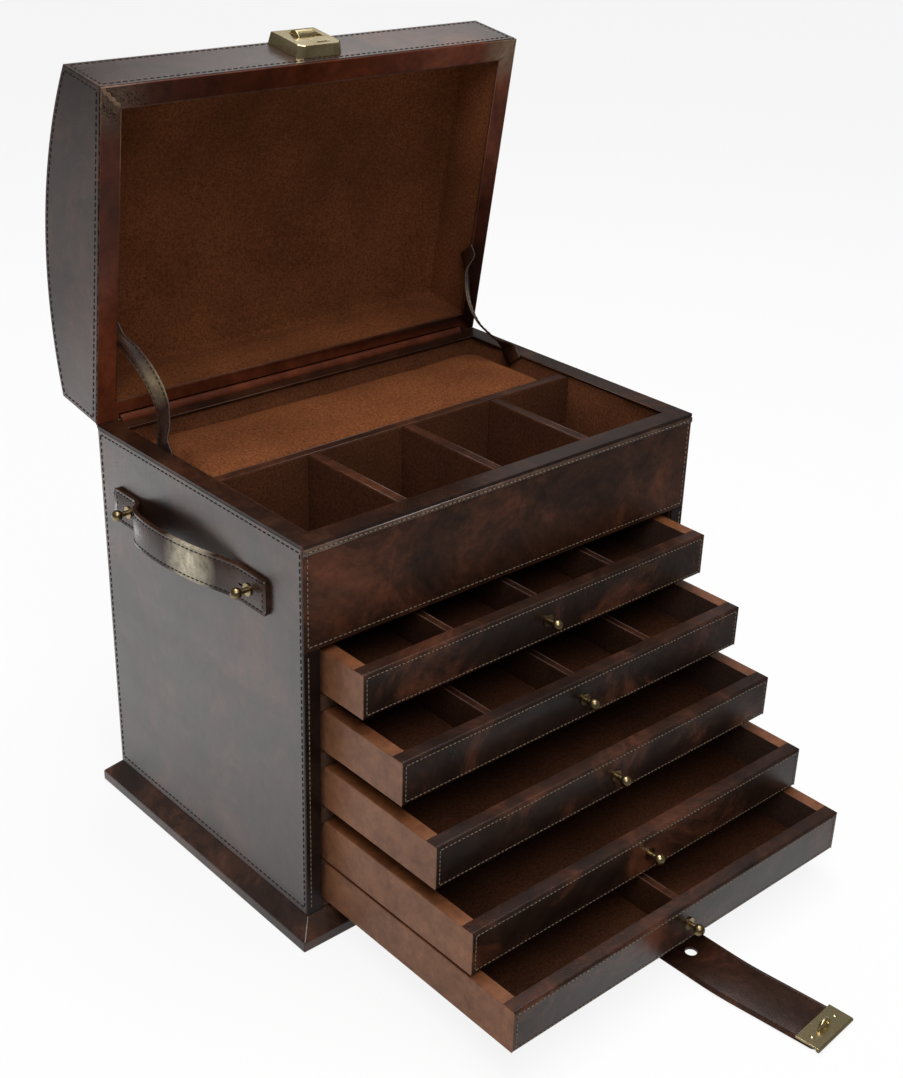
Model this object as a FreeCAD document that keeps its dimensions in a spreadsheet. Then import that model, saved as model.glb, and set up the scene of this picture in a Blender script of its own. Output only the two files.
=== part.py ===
import FreeCAD, Part
import math
import os
import re

# A trunk-style jewellery case: leather-covered boards, a domed lid, a lined top tray, five drawers
# and a closing strap. Millimetres, +Z up, front towards -Y, origin at the middle of the plinth's
# underside. It stands open: the lid leans back on its hinge and the drawers are drawn out in steps.

doc = FreeCAD.newDocument("jewellery_case")
sizes = doc.addObject("Spreadsheet::Sheet", "Sizes")

DIMENSIONS = (
    ("case_width", 340, "outside width of the covered case"),
    ("case_depth", 230, "outside depth of the covered case"),
    ("wall", 12, "covered board of the case and the lid"),
    ("facing", 1.5, "stitched leather on the front"),
    ("upper_panel", 71.7, "front panel above the drawers"),
    ("plinth_height", 18, "whole height of the moulded base"),
    ("plinth_band", 7.5, "upright band of the base"),
    ("plinth_overhang", 10.5, "how far the base stands out"),
    ("plinth_nose", 2.2, "rounding of the band's upper edge"),
    ("rim_lip", 1, "mitred trim of tray and lid beyond the lining"),
    ("rim_thick", 2, "thickness of that trim"),
    ("tray_depth", 62, "rim to tray floor"),
    ("tray_board", 5, "tray floor board"),
    ("lining", 1, "suede lining"),
    ("tray_divider", 8, "tray partitions"),
    ("divider_drop", 0.3, "partitions below the trim"),
    ("rear_section", 98.5, "depth of the padded section"),
    ("pad_drop", 8, "top of the pad below the rim"),
    ("pad_crown", 6, "rise of the pad's middle over its edge"),
    ("pad_pull", 2.5, "how far the pad's sides draw in below"),
    ("pad_flat", 30.3, "depth of the pad's level top"),
    ("pad_rings", 5, "outlines that shape the shoulder"),
    ("pad_corner", 14, "rounding of the pad's corners"),
    ("pad_gap", 0.6, "room round the pad"),
    ("drawer_height", 30.8, "drawer front and sides"),
    ("drawer_gap", 5, "room beside a drawer"),
    ("drawer_back_gap", 3, "room behind a closed drawer"),
    ("drawer_top_gap", 4.5, "room above the first drawer"),
    ("drawer_front", 10.2, "thickness of a drawer front"),
    ("drawer_side", 9.5, "thickness of drawer sides and back"),
    ("drawer_floor", 4, "drawer bottom with its suede"),
    ("drawer_divider", 6, "drawer partitions"),
    ("drawer_divider_drop", 3, "drawer partitions below the sides"),
    ("drawer_edge", 2, "leather rolled over the long edges of a front"),
    ("shelf", 9.6, "boards between the upper drawers"),
    ("shelf_gap", 0.8, "running room at those boards"),
    ("low_shelf", 0.9, "sheet between the two lowest drawers"),
    ("low_shelf_gap", 0.55, "running room at that sheet"),
    ("runner", 2.3, "strips under the lowest drawer"),
    ("runner_gap", 0.4, "running room over those strips"),
    ("runner_width", 40, "width of those strips"),
    ("pull_1", 35.6, "how far each drawer stands out"),
    ("pull_2", 72.7, ""),
    ("pull_3", 104.8, ""),
    ("pull_4", 138.5, ""),
    ("pull_5", 175.9, ""),
    ("lid_side", 45.4, "upright sides of the lid"),
    ("lid_rise", 23.3, "rise of the dome over the sides"),
    ("lid_board", 6, "bent board of the dome"),
    ("glue_line", 0.2, "room under the bent board"),
    ("lid_gap", 0.6, "room between lid and case when shut"),
    ("lid_angle", 81.2, "how far the lid stands open"),
    ("hinge_inset", 17, "case end to hinge end"),
    ("hinge_leaf", 0.8, "hinge plate"),
    ("leaf_height", 14, "hinge plate from the pin line"),
    ("knuckle_radius", 3, "outside of the knuckles"),
    ("knuckle_count", 9, "knuckles of both leaves"),
    ("knuckle_gap", 0.4, "room between knuckles and beside them"),
    ("pin_radius", 1.2, "hinge pin"),
    ("pin_clearance", 0.03, "running fit of the pin"),
    ("cover_gap", 0.25, "room between knuckles and their leather cover"),
    ("cover_thick", 0.9, "leather cover of the hinge"),
    ("cove_gap", 0.4, "room between that cover and the boards"),
    ("ball_radius", 3.8, "ball of a stud"),
    ("ball_reach", 8.8, "seat of a stud to the middle of its ball"),
    ("neck_radius", 1.8, "neck of a stud"),
    ("flange_radius", 4.2, "flange of a stud"),
    ("flange_thick", 1.2, "thickness of the flange"),
    ("handle_height", 238, "middle of the side handles above the ground"),
    ("handle_length", 175, "handle from end to end along the wall"),
    ("handle_shift", 6.5, "middle of the handle behind the case's middle"),
    ("handle_width", 25, "width of the handle strap"),
    ("handle_thick", 3, "two layers of leather, stitched"),
    ("handle_corner", 4, "rounded corners of the handle's ends"),
    ("handle_bow", 12.5, "how far the grip stands off the wall at the rear"),
    ("handle_front_bow", 10.6, "the same at the front of the grip"),
    ("handle_rear_rise", 15, "length of the rise behind the grip"),
    ("handle_front_rise", 37.5, "length of the rise before the grip"),
    ("handle_tight_bend", 8, "bends of the rear rise"),
    ("handle_slow_bend", 40, "bends of the front rise"),
    ("stud_inset", 18.5, "handle end to stud"),
    ("slot_length", 10, "slit of a keyhole, from the stud's middle"),
    ("slot_width", 1.4, "width of that slit"),
    ("stud_room", 0.4, "room round a stud's neck"),
    ("strap_width", 39, "closing strap"),
    ("strap_thick", 1.8, "leather of the closing strap"),
    ("strap_root", 45, "length of the strap glued inside the case"),
    ("strap_lip", 12, "case front to where the strap turns down"),
    ("strap_bend", 78, "bends of the strap"),
    ("strap_run", 193.5, "case front to the fold line of the strap's end"),
    ("strap_fall", 78, "case front to where the strap meets the ground"),
    ("strap_end", 83, "fold line to the strap's tip"),
    ("strap_skew", 5, "how far the strap lies to the right"),
    ("fold_gap", 0.4, "room at the fold line"),
    ("strap_hole", 4.1, "radius of the holes for the drawer studs"),
    ("hole_run", 171, "case front to the hole of the first drawer"),
    ("lock_width", 38, "lock case"),
    ("lock_height", 36, "height of the lock case"),
    ("lock_thick", 8.5, "how far the lock stands off the lid"),
    ("lock_lift", 7.5, "lid edge to lock"),
    ("lock_corner", 4, "cut corners of the lock"),
    ("lock_draft", 1.2, "how far the lock's sides lean in"),
    ("key_width", 9, "key slot"),
    ("key_height", 2.2, "height of the key slot"),
    ("key_drop", 5, "lock edge to key slot"),
    ("key_shift", 4.5, "key slot to the right of the middle"),
    ("button_width", 14, "half-round thumb slide"),
    ("button_height", 11, "height of the thumb slide"),
    ("button_stand", 3.2, "how far the slide stands off the lock"),
    ("button_sink", 2.5, "depth of its track"),
    ("button_travel", 5, "travel of the slide"),
    ("button_gap", 0.3, "running room of the slide"),
    ("button_drop", 12.8, "lock's far edge to the slide's middle"),
    ("button_round", 0.5, "rounding of the slide's ends"),
    ("hasp_length", 16, "brass tab on the strap's tip"),
    ("hasp_thick", 1.6, "thickness of the tab"),
    ("hasp_lip", 1.5, "radius of the tab's rolled front"),
    ("hasp_gap", 0.1, "room between that roll and the strap's tip"),
    ("staple_wire", 1.3, "radius of the staple's wire"),
    ("staple_radius", 5, "middle radius of the staple's bow"),
    ("stay_width", 16, "leather stays of the lid"),
    ("stay_thick", 1.4, "thickness of a stay"),
    ("stay_lid", 62, "hinge line to stay on the lid"),
    ("stay_case", 59, "hinge line to stay on the case"),
    ("stay_grip", 8, "length of a stay along each wall"),
    ("stay_bend", 12, "bends of a stay"),
    ("stay_bulge", 11, "how far a slack stay bows inwards"),
    ("stay_gap", 0.3, "room between a stay and the trim"),
)

for row, (name, number, meaning) in enumerate(DIMENSIONS, start=1):
    sizes.set(f"A{row}", name)
    sizes.set(f"B{row}", str(number))
    sizes.setAlias(f"B{row}", name)
    sizes.set(f"C{row}", meaning)
doc.recompute()

X_AXIS = FreeCAD.Vector(1, 0, 0)
Y_AXIS = FreeCAD.Vector(0, 1, 0)
Z_AXIS = FreeCAD.Vector(0, 0, 1)
DRAWERS = range(1, 6)
LAST_DRAWER = 5
nodes = []


def value(name):
    """The number in the sheet's cell of that name."""
    return float(sizes.get(name))


def bind(piece, setting, formula):
    """Binds a setting to a formula of the sheet's names."""
    named = re.sub(r"[a-z][a-z_0-9]*", lambda word: word.group(0) if word.group(0) == "sqrt"
                   else "Sizes." + word.group(0), formula)
    piece.setExpression(setting, named)


def node(piece, label):
    """Keeps a finished piece under its own name."""
    piece.Label = label
    nodes.append(piece)
    return piece


def place(piece, base=("0", "0", "0"), axis=Z_AXIS, angle="0"):
    """Sets where a finished piece stands, and its turn about one axis."""
    piece.Placement = FreeCAD.Placement(FreeCAD.Vector(), FreeCAD.Rotation(axis, 1))
    for letter, formula in zip("xyz", base):
        bind(piece, f"Placement.Base.{letter}", formula)
    bind(piece, "Placement.Rotation.Angle", angle)
    return piece


def strip(name, x, y, z, far_x=None):
    """A block between two formulas on each axis. far_x mitres it: its span on X at the end of Y."""
    block = doc.addObject("Part::Wedge", name)
    far_x = far_x or x
    spans = {"X": x, "Y": y, "Z": z, "X2": far_x, "Z2": z}
    for letter, (low, high) in spans.items():
        bind(block, letter + "min", low)
        bind(block, letter + "max", high)
    return block


def both(half):
    """A span from minus to plus of a half width."""
    return (f"-({half})", half)


def rod(name, radius, x, y="0", z="0"):
    """A round bar along X."""
    bar = doc.addObject("Part::Cylinder", name)
    low, high = x
    bind(bar, "Radius", radius)
    bind(bar, "Height", f"({high}) - ({low})")
    return place(bar, (low, y, z), Y_AXIS, "90")


def drill(name, radius, x, y, z):
    """A round bar along Z, for holes."""
    bar = doc.addObject("Part::Cylinder", name)
    low, high = z
    bind(bar, "Radius", radius)
    bind(bar, "Height", f"({high}) - ({low})")
    return place(bar, (x, y, low))


def cut(name, base, *tools):
    """A piece with each tool taken out of it."""
    for tool in tools:
        before = base
        base = doc.addObject("Part::Cut", name)
        base.Base = before
        base.Tool = tool
    return base


def fuse(name, *pieces):
    """One solid from pieces that meet."""
    joined = doc.addObject("Part::MultiFuse", name)
    joined.Shapes = list(pieces)
    return joined


def shared(name, first, second):
    """What two pieces have in common."""
    common = doc.addObject("Part::Common", name)
    common.Base = first
    common.Tool = second
    return common


def group(name, *pieces):
    """Several separate solids kept as one piece."""
    together = doc.addObject("Part::Compound", name)
    together.Links = list(pieces)
    return together


def softened(name, base, kind, size_name, chosen):
    """Rounds or cuts the chosen edges of a piece."""
    doc.recompute()
    amount = value(size_name)
    edges = doc.addObject(kind, name)
    edges.Base = base
    picked = [index for index, edge in enumerate(base.Shape.Edges, start=1) if chosen(edge)]
    edges.Edges = [(index, amount, amount) for index in picked]
    return edges


def runs_along(edge, axis):
    """True for a straight edge along an axis."""
    start, end = edge.Vertexes[0].Point, edge.Vertexes[-1].Point
    return (end - start).normalize().cross(axis).Length < 1e-6


def bent_side(points, bends, offset):
    """Edges of a path moved sideways: straight runs joined by tangent arcs."""
    edges = []
    turns = []
    for before, corner, after, bend in zip(points, points[1:], points[2:], bends):
        come = (corner - before).normalize()
        leave = (after - corner).normalize()
        side = math.copysign(1, come.cross(leave).x)
        half = math.acos(max(-1, min(1, come.dot(leave)))) / 2
        reach = bend * math.tan(half)
        inward = X_AXIS.cross(come) * side
        centre = corner - come * reach + inward * bend
        radius = bend - side * offset
        middle = (corner - centre).normalize()
        outward = X_AXIS.cross(leave) * side
        turns.append((centre - inward * radius, centre + middle * radius, centre - outward * radius))
    start = points[0] + X_AXIS.cross((points[1] - points[0]).normalize()) * offset
    for first, middle, last in turns:
        edges.append(Part.LineSegment(start, first).toShape())
        edges.append(Part.Arc(first, middle, last).toShape())
        start = last
    end = points[-1] + X_AXIS.cross((points[-1] - points[-2]).normalize()) * offset
    edges.append(Part.LineSegment(start, end).toShape())
    return edges


def band(name, run, bends, thick, width):
    """A leather band bent along a path in the YZ plane and centred on it, width along X."""
    points = [FreeCAD.Vector(-width / 2, y, z) for y, z in run]
    left = bent_side(points, bends, thick / 2)
    right = bent_side(points, bends, -thick / 2)
    ends = [Part.LineSegment(left[0].Vertexes[0].Point, right[0].Vertexes[0].Point).toShape(),
            Part.LineSegment(left[-1].Vertexes[-1].Point, right[-1].Vertexes[-1].Point).toShape()]
    face = Part.Face(Part.Wire(Part.__sortEdges__(left + right + ends)))
    leather = doc.addObject("Part::Feature", name)
    leather.Shape = face.extrude(X_AXIS * width)
    return leather


def drawer_bottom(number):
    """Height of a drawer's underside, counted up from the base."""
    height = "plinth_height + runner + runner_gap"
    if number < LAST_DRAWER:
        steps = LAST_DRAWER - 1 - number
        height += " + drawer_height + low_shelf + 2 * low_shelf_gap"
        height += f" + {steps} * (drawer_height + shelf + 2 * shelf_gap)"
    return height


# Levels and half widths that many pieces share
HALF_W = "case_width / 2"
HALF_D = "case_depth / 2"
INNER_W = f"{HALF_W} - wall"
INNER_D = f"{HALF_D} - wall"
SEAM_Z = f"{drawer_bottom(1)} + drawer_height + drawer_top_gap"
RIM_Z = f"{SEAM_Z} + upper_panel"
BOARD_TOP = f"{RIM_Z} - rim_thick"
AXIS_Z = f"{RIM_Z} + lid_gap / 2"
FRONT_BACK = f"-({HALF_D}) + facing"
HINGE_HALF = f"{HALF_W} - hinge_inset"
COVE = "knuckle_radius + cover_gap + cover_thick + cove_gap"
TRAY_FLOOR = f"{RIM_Z} - tray_depth"
RIM = "(wall + lining + rim_lip)"
DIVIDER_REAR = f"{HALF_D} - {RIM} - rear_section"
UNDER_DOME = "lid_board + glue_line"


def make_plinth():
    """Moulded base: an upright band and a sloping top up to the walls."""
    base_x, base_y = f"{HALF_W} + plinth_overhang", f"{HALF_D} + plinth_overhang"
    lower = strip("plinth_band_block", both(base_x), both(base_y), ("0", "plinth_band"))
    slope = doc.addObject("Part::Wedge", "plinth_slope")
    spans = {"X": both(base_x), "Z": both(base_y), "X2": both(HALF_W), "Z2": both(HALF_D),
             "Y": ("plinth_band", "plinth_height")}
    for letter, (low, high) in spans.items():
        bind(slope, letter + "min", low)
        bind(slope, letter + "max", high)
    place(slope, axis=X_AXIS, angle="90")
    moulded = fuse("plinth_moulded", lower, slope)
    moulded.Refine = True
    nose_z = value("plinth_band")

    def at_nose(edge):
        return all(abs(corner.Z - nose_z) < 1e-6 for corner in edge.Vertexes)

    node(softened("plinth_body", moulded, "Part::Fillet", "plinth_nose", at_nose), "plinth")


def make_case():
    """Walls, front panel and stiles, shelves and runners."""
    height = ("plinth_height", BOARD_TOP)
    side_y = (FRONT_BACK, HALF_D)
    node(strip("left_board", (f"-({HALF_W})", f"-({INNER_W})"), side_y, height), "side_panel_left")
    node(strip("right_board", (INNER_W, HALF_W), side_y, height), "side_panel_right")

    back = strip("back_board", both(INNER_W), (INNER_D, HALF_D), height)
    rebate = strip("back_rebate", both(HINGE_HALF), (f"{HALF_D} - hinge_leaf", HALF_D),
                   (f"{AXIS_Z} - leaf_height", RIM_Z))
    cove = rod("back_cove", COVE, both(HINGE_HALF), HALF_D, AXIS_Z)
    node(cut("back_cut", back, rebate, cove), "back_panel")

    panel_z = (SEAM_Z, BOARD_TOP)
    node(strip("upper_board", both(INNER_W), (FRONT_BACK, f"-({INNER_D})"), panel_z), "upper_front_panel")
    node(strip("upper_leather", both(HALF_W), (f"-({HALF_D})", FRONT_BACK), panel_z), "upper_front_facing")

    stile_y, stile_z = (f"-({HALF_D})", FRONT_BACK), ("plinth_height", SEAM_Z)
    stiles = group("stile_pair",
                   strip("stile_left", (f"-({HALF_W})", f"-({INNER_W})"), stile_y, stile_z),
                   strip("stile_right", (INNER_W, HALF_W), stile_y, stile_z))
    node(stiles, "stile_facings")

    shelf_y = (FRONT_BACK, INNER_D)
    boards = []
    for number in (2, 3, 4):
        low = f"{drawer_bottom(number)} + drawer_height + shelf_gap"
        boards.append(strip(f"shelf_over_{number}", both(INNER_W), shelf_y, (low, f"{low} + shelf")))
    low = f"{drawer_bottom(LAST_DRAWER)} + drawer_height + low_shelf_gap"
    boards.append(strip("thin_sheet", both(INNER_W), shelf_y, (low, f"{low} + low_shelf")))
    node(group("shelf_set", *boards), "drawer_shelves")

    run_z = ("plinth_height", "plinth_height + runner")
    runners = [strip("runner_left", (f"-({INNER_W})", f"-({INNER_W}) + runner_width"), shelf_y, run_z),
               strip("runner_right", (f"{INNER_W} - runner_width", INNER_W), shelf_y, run_z)]
    node(group("runner_pair", *runners), "floor_runners")


def make_rim(name, half_y_low, half_y_high, z, cove):
    """Four mitred trim strips round an opening. The rear one is coved for the hinge."""
    wide, narrow = both(HALF_W), both(f"{HALF_W} - {RIM}")
    middle = f"(({half_y_low}) + ({half_y_high})) / 2"
    deep, shallow = both(HALF_D), both(f"{HALF_D} - {RIM}")
    front = strip(name + "_front", wide, (half_y_low, f"{half_y_low} + {RIM}"), z, narrow)
    rear = strip(name + "_rear", narrow, (f"{half_y_high} - {RIM}", half_y_high), z, wide)
    left = strip(name + "_left", shallow, (f"{HALF_W} - {RIM}", HALF_W), z, deep)
    right = strip(name + "_right", deep, (f"-({HALF_W})", f"-({HALF_W}) + {RIM}"), z, shallow)
    for side in (left, right):
        place(side, ("0", middle, "0"), Z_AXIS, "90")
    return group(name + "_frame", front, left, right, cut(name + "_coved", rear, cove))


def make_tray():
    """Top tray: floor, trim, lining, partitions and the pad behind them."""
    node(strip("tray_board_blank", both(INNER_W), both(INNER_D), (f"{TRAY_FLOOR} - tray_board", TRAY_FLOOR)),
         "tray_floor")
    cove = rod("rim_cove", COVE, both(HINGE_HALF), HALF_D, AXIS_Z)
    node(make_rim("tray_trim", f"-({HALF_D})", HALF_D, (BOARD_TOP, RIM_Z), cove), "tray_rim")

    outer = strip("lining_outer", both(INNER_W), both(INNER_D), (TRAY_FLOOR, BOARD_TOP))
    hollow = strip("lining_hollow", both(f"{INNER_W} - lining"), both(f"{INNER_D} - lining"),
                   (f"{TRAY_FLOOR} + lining", RIM_Z))
    node(cut("lining_shell", outer, hollow), "tray_lining")

    low, high = f"{TRAY_FLOOR} + lining", f"{BOARD_TOP} - divider_drop"
    inside = f"{INNER_W} - lining"
    divider_front = f"{DIVIDER_REAR} - tray_divider"
    lengthways = strip("long_board", both(inside), (divider_front, DIVIDER_REAR), (low, high))
    node(lengthways, "tray_long_divider")
    cell = f"(2 * ({inside}) - 3 * tray_divider) / 4"
    crossing = []
    for number in range(1, 4):
        left = f"-({inside}) + {number} * ({cell}) + {number - 1} * tray_divider"
        crossing.append(strip(f"cross_board_{number}", (left, f"{left} + tray_divider"),
                              (f"-({INNER_D}) + lining", divider_front), (low, high)))
    node(group("cross_boards", *crossing), "tray_cross_dividers")
    make_pad()


def rounded_outline(half_x, half_y, corner, z):
    """A rounded rectangle about the middle, at one height."""
    edges = []
    turn = corner * (1 - math.sqrt(0.5))
    signs = ((1, 1), (-1, 1), (-1, -1), (1, -1))
    arcs = []
    for sign_x, sign_y in signs:
        on_x = FreeCAD.Vector(sign_x * half_x, sign_y * (half_y - corner), z)
        on_y = FreeCAD.Vector(sign_x * (half_x - corner), sign_y * half_y, z)
        mid = FreeCAD.Vector(sign_x * (half_x - turn), sign_y * (half_y - turn), z)
        arcs.append((on_x, mid, on_y) if sign_x == sign_y else (on_y, mid, on_x))
    for arc, following in zip(arcs, arcs[1:] + arcs[:1]):
        edges.append(Part.Arc(*arc).toShape())
        edges.append(Part.LineSegment(arc[2], following[0]).toShape())
    return Part.Wire(edges)


def make_pad():
    """Suede cushion: drawn in below, full at the middle of its sides, crowned on top."""
    inside_x = value("case_width") / 2 - value("wall") - value("lining") - value("pad_gap")
    depth = value("rear_section") + value("rim_lip")
    inside_y = depth / 2 - value("pad_gap")
    tall = value("tray_depth") - value("lining") - value("pad_drop")
    corner, pull, crown = value("pad_corner"), value("pad_pull"), value("pad_crown")
    edge = tall - crown
    shoulder = inside_y - value("pad_flat") / 2
    levels = [(0, pull), (edge / 2, 0)]
    rings = int(value("pad_rings"))
    for ring in range(rings + 1):
        turn = math.radians(90) * ring / rings
        levels.append((edge + crown * math.sin(turn), shoulder * (1 - math.cos(turn))))
    outlines = []
    for level, inset in levels:
        half_y = inside_y - inset
        outlines.append(rounded_outline(inside_x - inset, half_y, min(corner, 0.95 * half_y), level))
    pad = doc.addObject("Part::Feature", "pad_cushion")
    pad.Shape = Part.makeLoft(outlines, True, True)
    place(pad, ("0", f"({DIVIDER_REAR} + {INNER_D} - lining) / 2", f"{TRAY_FLOOR} + lining"))
    node(pad, "tray_pad")


def dome(name, radius_less):
    """A bar along X that gives the lid's round, less a thickness, about the hinge line."""
    radius = "(case_depth ^ 2 / 4 + lid_rise ^ 2) / (2 * lid_rise)"
    centre_z = f"lid_gap / 2 + lid_side + lid_rise - ({radius})"
    return rod(name, f"{radius} - ({radius_less})", both("case_width"), f"-({HALF_D})", centre_z)


def hang(piece, label):
    """Turns a finished piece of the lid, built shut about the hinge line, to its open angle."""
    place(piece, ("0", HALF_D, AXIS_Z), X_AXIS, "-lid_angle")
    return node(piece, label)


def make_lid():
    """Domed lid, built about the hinge line as if shut."""
    bottom, top = "lid_gap / 2 + rim_thick", "lid_gap / 2 + lid_side + lid_rise + 1"
    depth = ("-case_depth", "0")
    for side, x in (("left", (f"-({HALF_W})", f"-({INNER_W})")), ("right", (INNER_W, HALF_W))):
        board = strip(f"lid_{side}_board", x, depth, (bottom, top))
        hang(shared(f"lid_{side}_end", board, dome(f"lid_{side}_round", "0")), f"lid_end_{side}")

    front = strip("lid_front_board", both(INNER_W), ("-case_depth", "-case_depth + wall"), (bottom, top))
    hang(shared("lid_front_piece", front, dome("lid_front_round", UNDER_DOME)), "lid_front_wall")

    rear = strip("lid_rear_board", both(INNER_W), ("-wall", "0"), (bottom, top))
    rear_round = shared("lid_rear_piece", rear, dome("lid_rear_round", UNDER_DOME))
    rebate = strip("lid_rear_rebate", both(HINGE_HALF), ("-hinge_leaf", "0"), ("0", "leaf_height"))
    cove = rod("lid_rear_cove", COVE, both(HINGE_HALF))
    hang(cut("lid_rear_cut", rear_round, rebate, cove), "lid_back_wall")

    slab = strip("lid_top_blank", both(INNER_W), depth, (bottom, top))
    skin = shared("lid_top_round", slab, dome("lid_top_outside", "0"))
    hang(cut("lid_top_shell", skin, dome("lid_top_inside", "lid_board")), "lid_dome")

    trim_cove = rod("lid_trim_cove", COVE, both(HINGE_HALF))
    hang(make_rim("lid_trim", "-case_depth", "0", ("lid_gap / 2", bottom), trim_cove), "lid_rim")

    room = strip("lid_room", both(INNER_W), ("-case_depth + wall", "-wall"), (bottom, top))
    outer = shared("lid_room_round", room, dome("lid_room_outside", UNDER_DOME))
    hollow = strip("lid_hollow", both(f"{INNER_W} - lining"),
                   ("-case_depth + wall + lining", "-wall - lining"), ("0", top))
    inner = shared("lid_hollow_round", hollow, dome("lid_hollow_outside", f"{UNDER_DOME} + lining"))
    hang(cut("lid_lining_shell", outer, inner), "lid_lining")


def make_leaf(name, sign, first):
    """One hinge leaf: a plate with every second knuckle, bored for the pin. sign is up or down."""
    def span(low, high):
        return (low, high) if sign > 0 else (f"-({high})", f"-({low})")

    clear = "knuckle_radius + knuckle_gap"
    pieces = [strip(name + "_plate", both(HINGE_HALF), ("-hinge_leaf", "0"), span(clear, "leaf_height"))]
    pitch = f"2 * ({HINGE_HALF}) / knuckle_count"
    for number in range(first, int(value("knuckle_count")), 2):
        low = f"-({HINGE_HALF}) + {number} * {pitch} + knuckle_gap / 2"
        high = f"-({HINGE_HALF}) + {number + 1} * {pitch} - knuckle_gap / 2"
        pieces.append(strip(f"{name}_tab_{number}", (low, high), ("-hinge_leaf", "0"), span("0", clear)))
        pieces.append(rod(f"{name}_knuckle_{number}", "knuckle_radius", (low, high)))
    bore = rod(name + "_bore", "pin_radius + pin_clearance", both(HALF_W))
    return cut(name + "_bored", fuse(name + "_joined", *pieces), bore)


def make_hinge():
    """Piano hinge let into the outside of the back, with a leather cover towards the tray."""
    line = ("0", HALF_D, AXIS_Z)
    node(place(make_leaf("case_leaf", -1, 0), line), "hinge_leaf_case")
    hang(make_leaf("lid_leaf", 1, 1), "hinge_leaf_lid")
    node(rod("pin", "pin_radius", both(HINGE_HALF), HALF_D, AXIS_Z), "hinge_pin")

    inner = "knuckle_radius + cover_gap"
    outside = rod("cover_outside", f"{inner} + cover_thick", both(HINGE_HALF))
    inside = rod("cover_inside", inner, both(HALF_W))
    clear = "-(hinge_leaf + cover_gap)"
    behind = strip("cover_behind", both(HALF_W), (clear, "wall"), both("wall"))
    node(place(cut("cover_sleeve", outside, inside, behind), line), "hinge_cover")


def make_stud(name, seat):
    """A brass ball stud that grows along +Z from a seat."""
    flange = drill(name + "_flange", "flange_radius", "0", "0", (seat, f"{seat} + flange_thick"))
    neck = drill(name + "_neck", "neck_radius", "0", "0", ("0", f"{seat} + ball_reach"))
    ball = doc.addObject("Part::Sphere", name + "_ball")
    bind(ball, "Radius", "ball_radius")
    place(ball, ("0", "0", f"{seat} + ball_reach"))
    return fuse(name, flange, neck, ball)


def make_drawer(number, dividers):
    """One drawer, built shut and then drawn out: front, sides with back, floor, partitions, stud."""
    name = f"drawer_{number}"
    half = f"{INNER_W} - drawer_gap"
    low = drawer_bottom(number)
    high = f"{low} + drawer_height"
    front, rear = f"-({HALF_D})", f"{INNER_D} - drawer_back_gap"
    inner_front, inner_rear = f"{front} + drawer_front", f"{rear} - drawer_side"
    inside = f"{half} - drawer_side"
    out = ("0", f"-pull_{number}", "0")

    slab = strip(name + "_slab", both(half), (front, inner_front), (low, high))
    face_y = -value("case_depth") / 2

    def rolled(edge):
        return runs_along(edge, X_AXIS) and abs(edge.Vertexes[0].Y - face_y) < 1e-6

    rounded = softened(name + "_face", slab, "Part::Fillet", "drawer_edge", rolled)
    node(place(rounded, out), name + "_front")

    walls = group(name + "_walls",
                  strip(name + "_left", (f"-({half})", f"-({inside})"), (inner_front, rear), (low, high)),
                  strip(name + "_right", (inside, half), (inner_front, rear), (low, high)),
                  strip(name + "_rear", both(inside), (inner_rear, rear), (low, high)))
    node(place(walls, out), name + "_box")
    base = strip(name + "_base", both(inside), (inner_front, inner_rear), (low, f"{low} + drawer_floor"))
    node(place(base, out), name + "_floor")

    cell = f"(2 * ({inside}) - {dividers} * drawer_divider) / {dividers + 1}"
    boards = []
    for place_number in range(1, dividers + 1):
        left = f"-({inside}) + {place_number} * ({cell}) + {place_number - 1} * drawer_divider"
        boards.append(strip(f"{name}_divider_{place_number}", (left, f"{left} + drawer_divider"),
                            (inner_front, inner_rear),
                            (f"{low} + drawer_floor", f"{high} - drawer_divider_drop")))
    if boards:
        node(place(group(name + "_partitions", *boards), out), name + "_dividers")

    knob = make_stud(name + "_stud", "0")
    place(knob, ("0", f"{front} - pull_{number}", f"{low} + drawer_height / 2"), X_AXIS, "90")
    node(knob, name + "_knob")


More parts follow.
